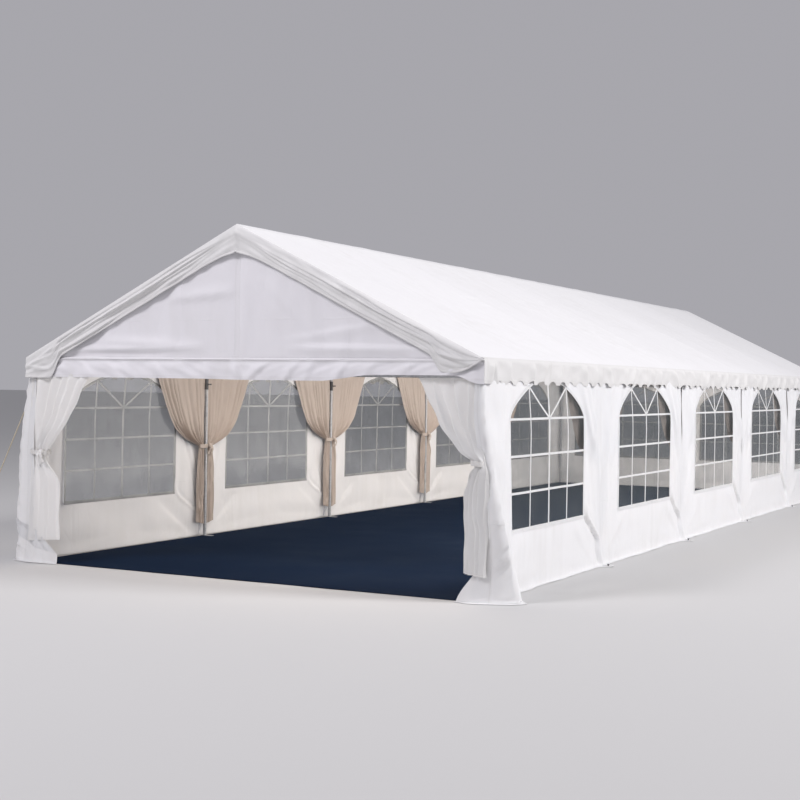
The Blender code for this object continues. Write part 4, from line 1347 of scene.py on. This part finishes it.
for side, side_name in SIDES:
    shapes = []
    for index, y in enumerate(FRAME_YS):
        shapes.append(leg_clamp(side * LEG_X, y, (0, 1) if index == 0 else (-side, 0)))
    clamps = coat(join_pieces(shapes), "leg_clamps_" + side_name, forged)
    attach(clamps, "root")

# Ground pegs
# Steel pins driven through eyelets in the ground flaps, one at each post. Only the mushroom heads and
# the tops of the shanks stand out.
PEG_HEIGHT = 0.024
PEG_HEAD_R = 0.014
PEG_SHANK_R = 0.006
PEG_X = 2.655
# The front pegs stand farther out, and a little behind the corner legs.
FRONT_PEG_X = {-1: 2.755, 1: 2.86}
FRONT_PEG_BACK = 0.11
HEAD_LAYERS = (0.001, 0.004, 0.003)


def ground_peg(x, y, height, head_r, shank_r):
    """A pin with a mushroom head, from the ground up."""
    shank = height - sum(HEAD_LAYERS)
    let_go()
    bpy.ops.mesh.primitive_cylinder_add(vertices=20, radius=shank_r, depth=shank, location=(x, y, shank / 2))
    peg = bpy.context.object
    apply_place()
    bpy.ops.object.mode_set(mode="EDIT")
    bpy.ops.mesh.select_mode(type="FACE")
    bpy.ops.mesh.select_all(action="DESELECT")
    bpy.ops.object.mode_set(mode="OBJECT")
    for face in peg.data.polygons:
        face.select = face.normal.z > 0.9
    bpy.ops.object.mode_set(mode="EDIT")
    for rise, wide in zip(HEAD_LAYERS, (head_r / shank_r, 1.0, 0.55)):
        bpy.ops.mesh.extrude_region_move(TRANSFORM_OT_translate={"value": (0, 0, rise)})
        bpy.ops.transform.resize(value=(wide, wide, 1))
    bpy.ops.object.mode_set(mode="OBJECT")
    bpy.ops.object.shade_smooth_by_angle(angle=math.radians(50))
    return peg


for side, side_name in SIDES:
    spots = [(FRONT_PEG_X[side], FRAME_YS[0] + FRONT_PEG_BACK)] + [(PEG_X, y) for y in FRAME_YS[1:]]
    pegs = [ground_peg(side * x, y, PEG_HEIGHT, PEG_HEAD_R, PEG_SHANK_R) for x, y in spots]
    pegs = coat(join_pieces(pegs), "ground_pegs_" + side_name, forged)
    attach(pegs, "root")

# Guy rope
# Cream rope of three twisted strands, tied to an eyelet at the eave, held taut by a wooden slider, and
# looped round a steel peg in the ground.
ROPE_Y = FRAME_YS[0] + 0.22
ROPE_TOP = Vector((-2.5736, ROPE_Y, 2.07))
ROPE_FOOT = Vector((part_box("guy_rope")[0][0] + 0.012, ROPE_Y, 0.034))
STRAND_R = 0.0032
STRAND_OFF = 0.0033
TWIST_LENGTH = 0.045
STEPS_A_TWIST = 8
HITCHES = (0.012, 0.78, 0.985)
HITCH_R = 0.0085
HITCH_CORD_R = 0.0042
SLIDER_PLACE = 0.76
SLIDER_SIZE = (0.010, 0.026, 0.075)
SLIDER_ROUND = 0.004
ROPE_PEG_HEIGHT = 0.060
ROPE_PEG_HEAD_R = 0.012
ROPE_PEG_SHANK_R = 0.007

rope_cord, tree, shader = new_material("cord")
room = coordinates(tree, "Object")
fuzz = noise(tree, room, 300.0, 3.0)
stains = map_value(tree, noise(tree, room, 9.0, 4.0), 0.5, 0.75, 0.0, 0.4)
cream = mix_colours(tree, fuzz, (0.50, 0.42, 0.28, 1), (0.82, 0.75, 0.60, 1))
set_inputs(tree, shader, {
    "Base Color": mix_colours(tree, stains, cream, (0.38, 0.33, 0.25, 1)),
    "Roughness": map_value(tree, fuzz, 0.3, 0.7, 0.7, 0.95),
    "Normal": relief(tree, math_node(tree, "MULTIPLY", fuzz, 0.0008))})

slider_wood, tree, shader = new_material("slider_wood")
room = coordinates(tree, "Object")
grain = noise(tree, stretched(tree, room, (1.0, 1.0, 0.12)), 260.0, 4.0)
set_inputs(tree, shader, {
    "Base Color": mix_colours(tree, grain, (0.35, 0.22, 0.12, 1), (0.60, 0.42, 0.25, 1)),
    "Roughness": map_value(tree, grain, 0.3, 0.7, 0.45, 0.65),
    "Normal": relief(tree, math_node(tree, "MULTIPLY", grain, 0.0004))})

rope_run = ROPE_FOOT - ROPE_TOP
rope_side = Vector((0, 1, 0))
rope_up = rope_run.cross(rope_side).normalized()
rope_turn = rope_run.to_track_quat("Z", "Y").to_euler()


def strand(turn):
    """One strand that twists round the rope's line, as a tube with closed ends."""
    count = int(rope_run.length / TWIST_LENGTH * STEPS_A_TWIST)
    curve = bpy.data.curves.new("strand", "CURVE")
    curve.dimensions = "3D"
    curve.bevel_depth = STRAND_R
    curve.bevel_resolution = 1
    curve.use_fill_caps = True
    spline = curve.splines.new("POLY")
    spline.points.add(count)
    for step, point in enumerate(spline.points):
        angle = turn + 2 * math.pi * step / STEPS_A_TWIST
        off = STRAND_OFF * (rope_side * math.cos(angle) + rope_up * math.sin(angle))
        point.co = (*(ROPE_TOP + rope_run * (step / count) + off), 1)
    drawn = bpy.data.objects.new("strand", curve)
    bpy.context.scene.collection.objects.link(drawn)
    pick([drawn])
    bpy.ops.object.convert(target="MESH")
    return bpy.context.object


shapes = [strand(2 * math.pi * third / 3) for third in range(3)]
for place in HITCHES:
    let_go()
    bpy.ops.mesh.primitive_torus_add(major_radius=HITCH_R, minor_radius=HITCH_CORD_R, major_segments=24,
                                     minor_segments=10, location=ROPE_TOP + rope_run * place,
                                     rotation=rope_turn)
    apply_place()
    bpy.ops.object.shade_smooth()
    shapes.append(bpy.context.object)
guy_rope = coat(join_pieces(shapes), "guy_rope_strands", rope_cord)

let_go()
bpy.ops.mesh.primitive_cube_add(size=1.0, location=ROPE_TOP + rope_run * SLIDER_PLACE, rotation=rope_turn,
                                scale=SLIDER_SIZE)
slider = coat(bpy.context.object, "rope_slider", slider_wood)
apply_place()
apply_modifier(slider, "BEVEL", width=SLIDER_ROUND, segments=3)
bpy.ops.object.shade_smooth_by_angle(angle=math.radians(40))

rope_peg = ground_peg(ROPE_FOOT.x, ROPE_FOOT.y, ROPE_PEG_HEIGHT, ROPE_PEG_HEAD_R, ROPE_PEG_SHANK_R)
rope_peg = coat(rope_peg, "rope_peg", forged)
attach(guy_rope, "root")
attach(slider, "root")
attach(rope_peg, "root")
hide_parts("guy_rope")
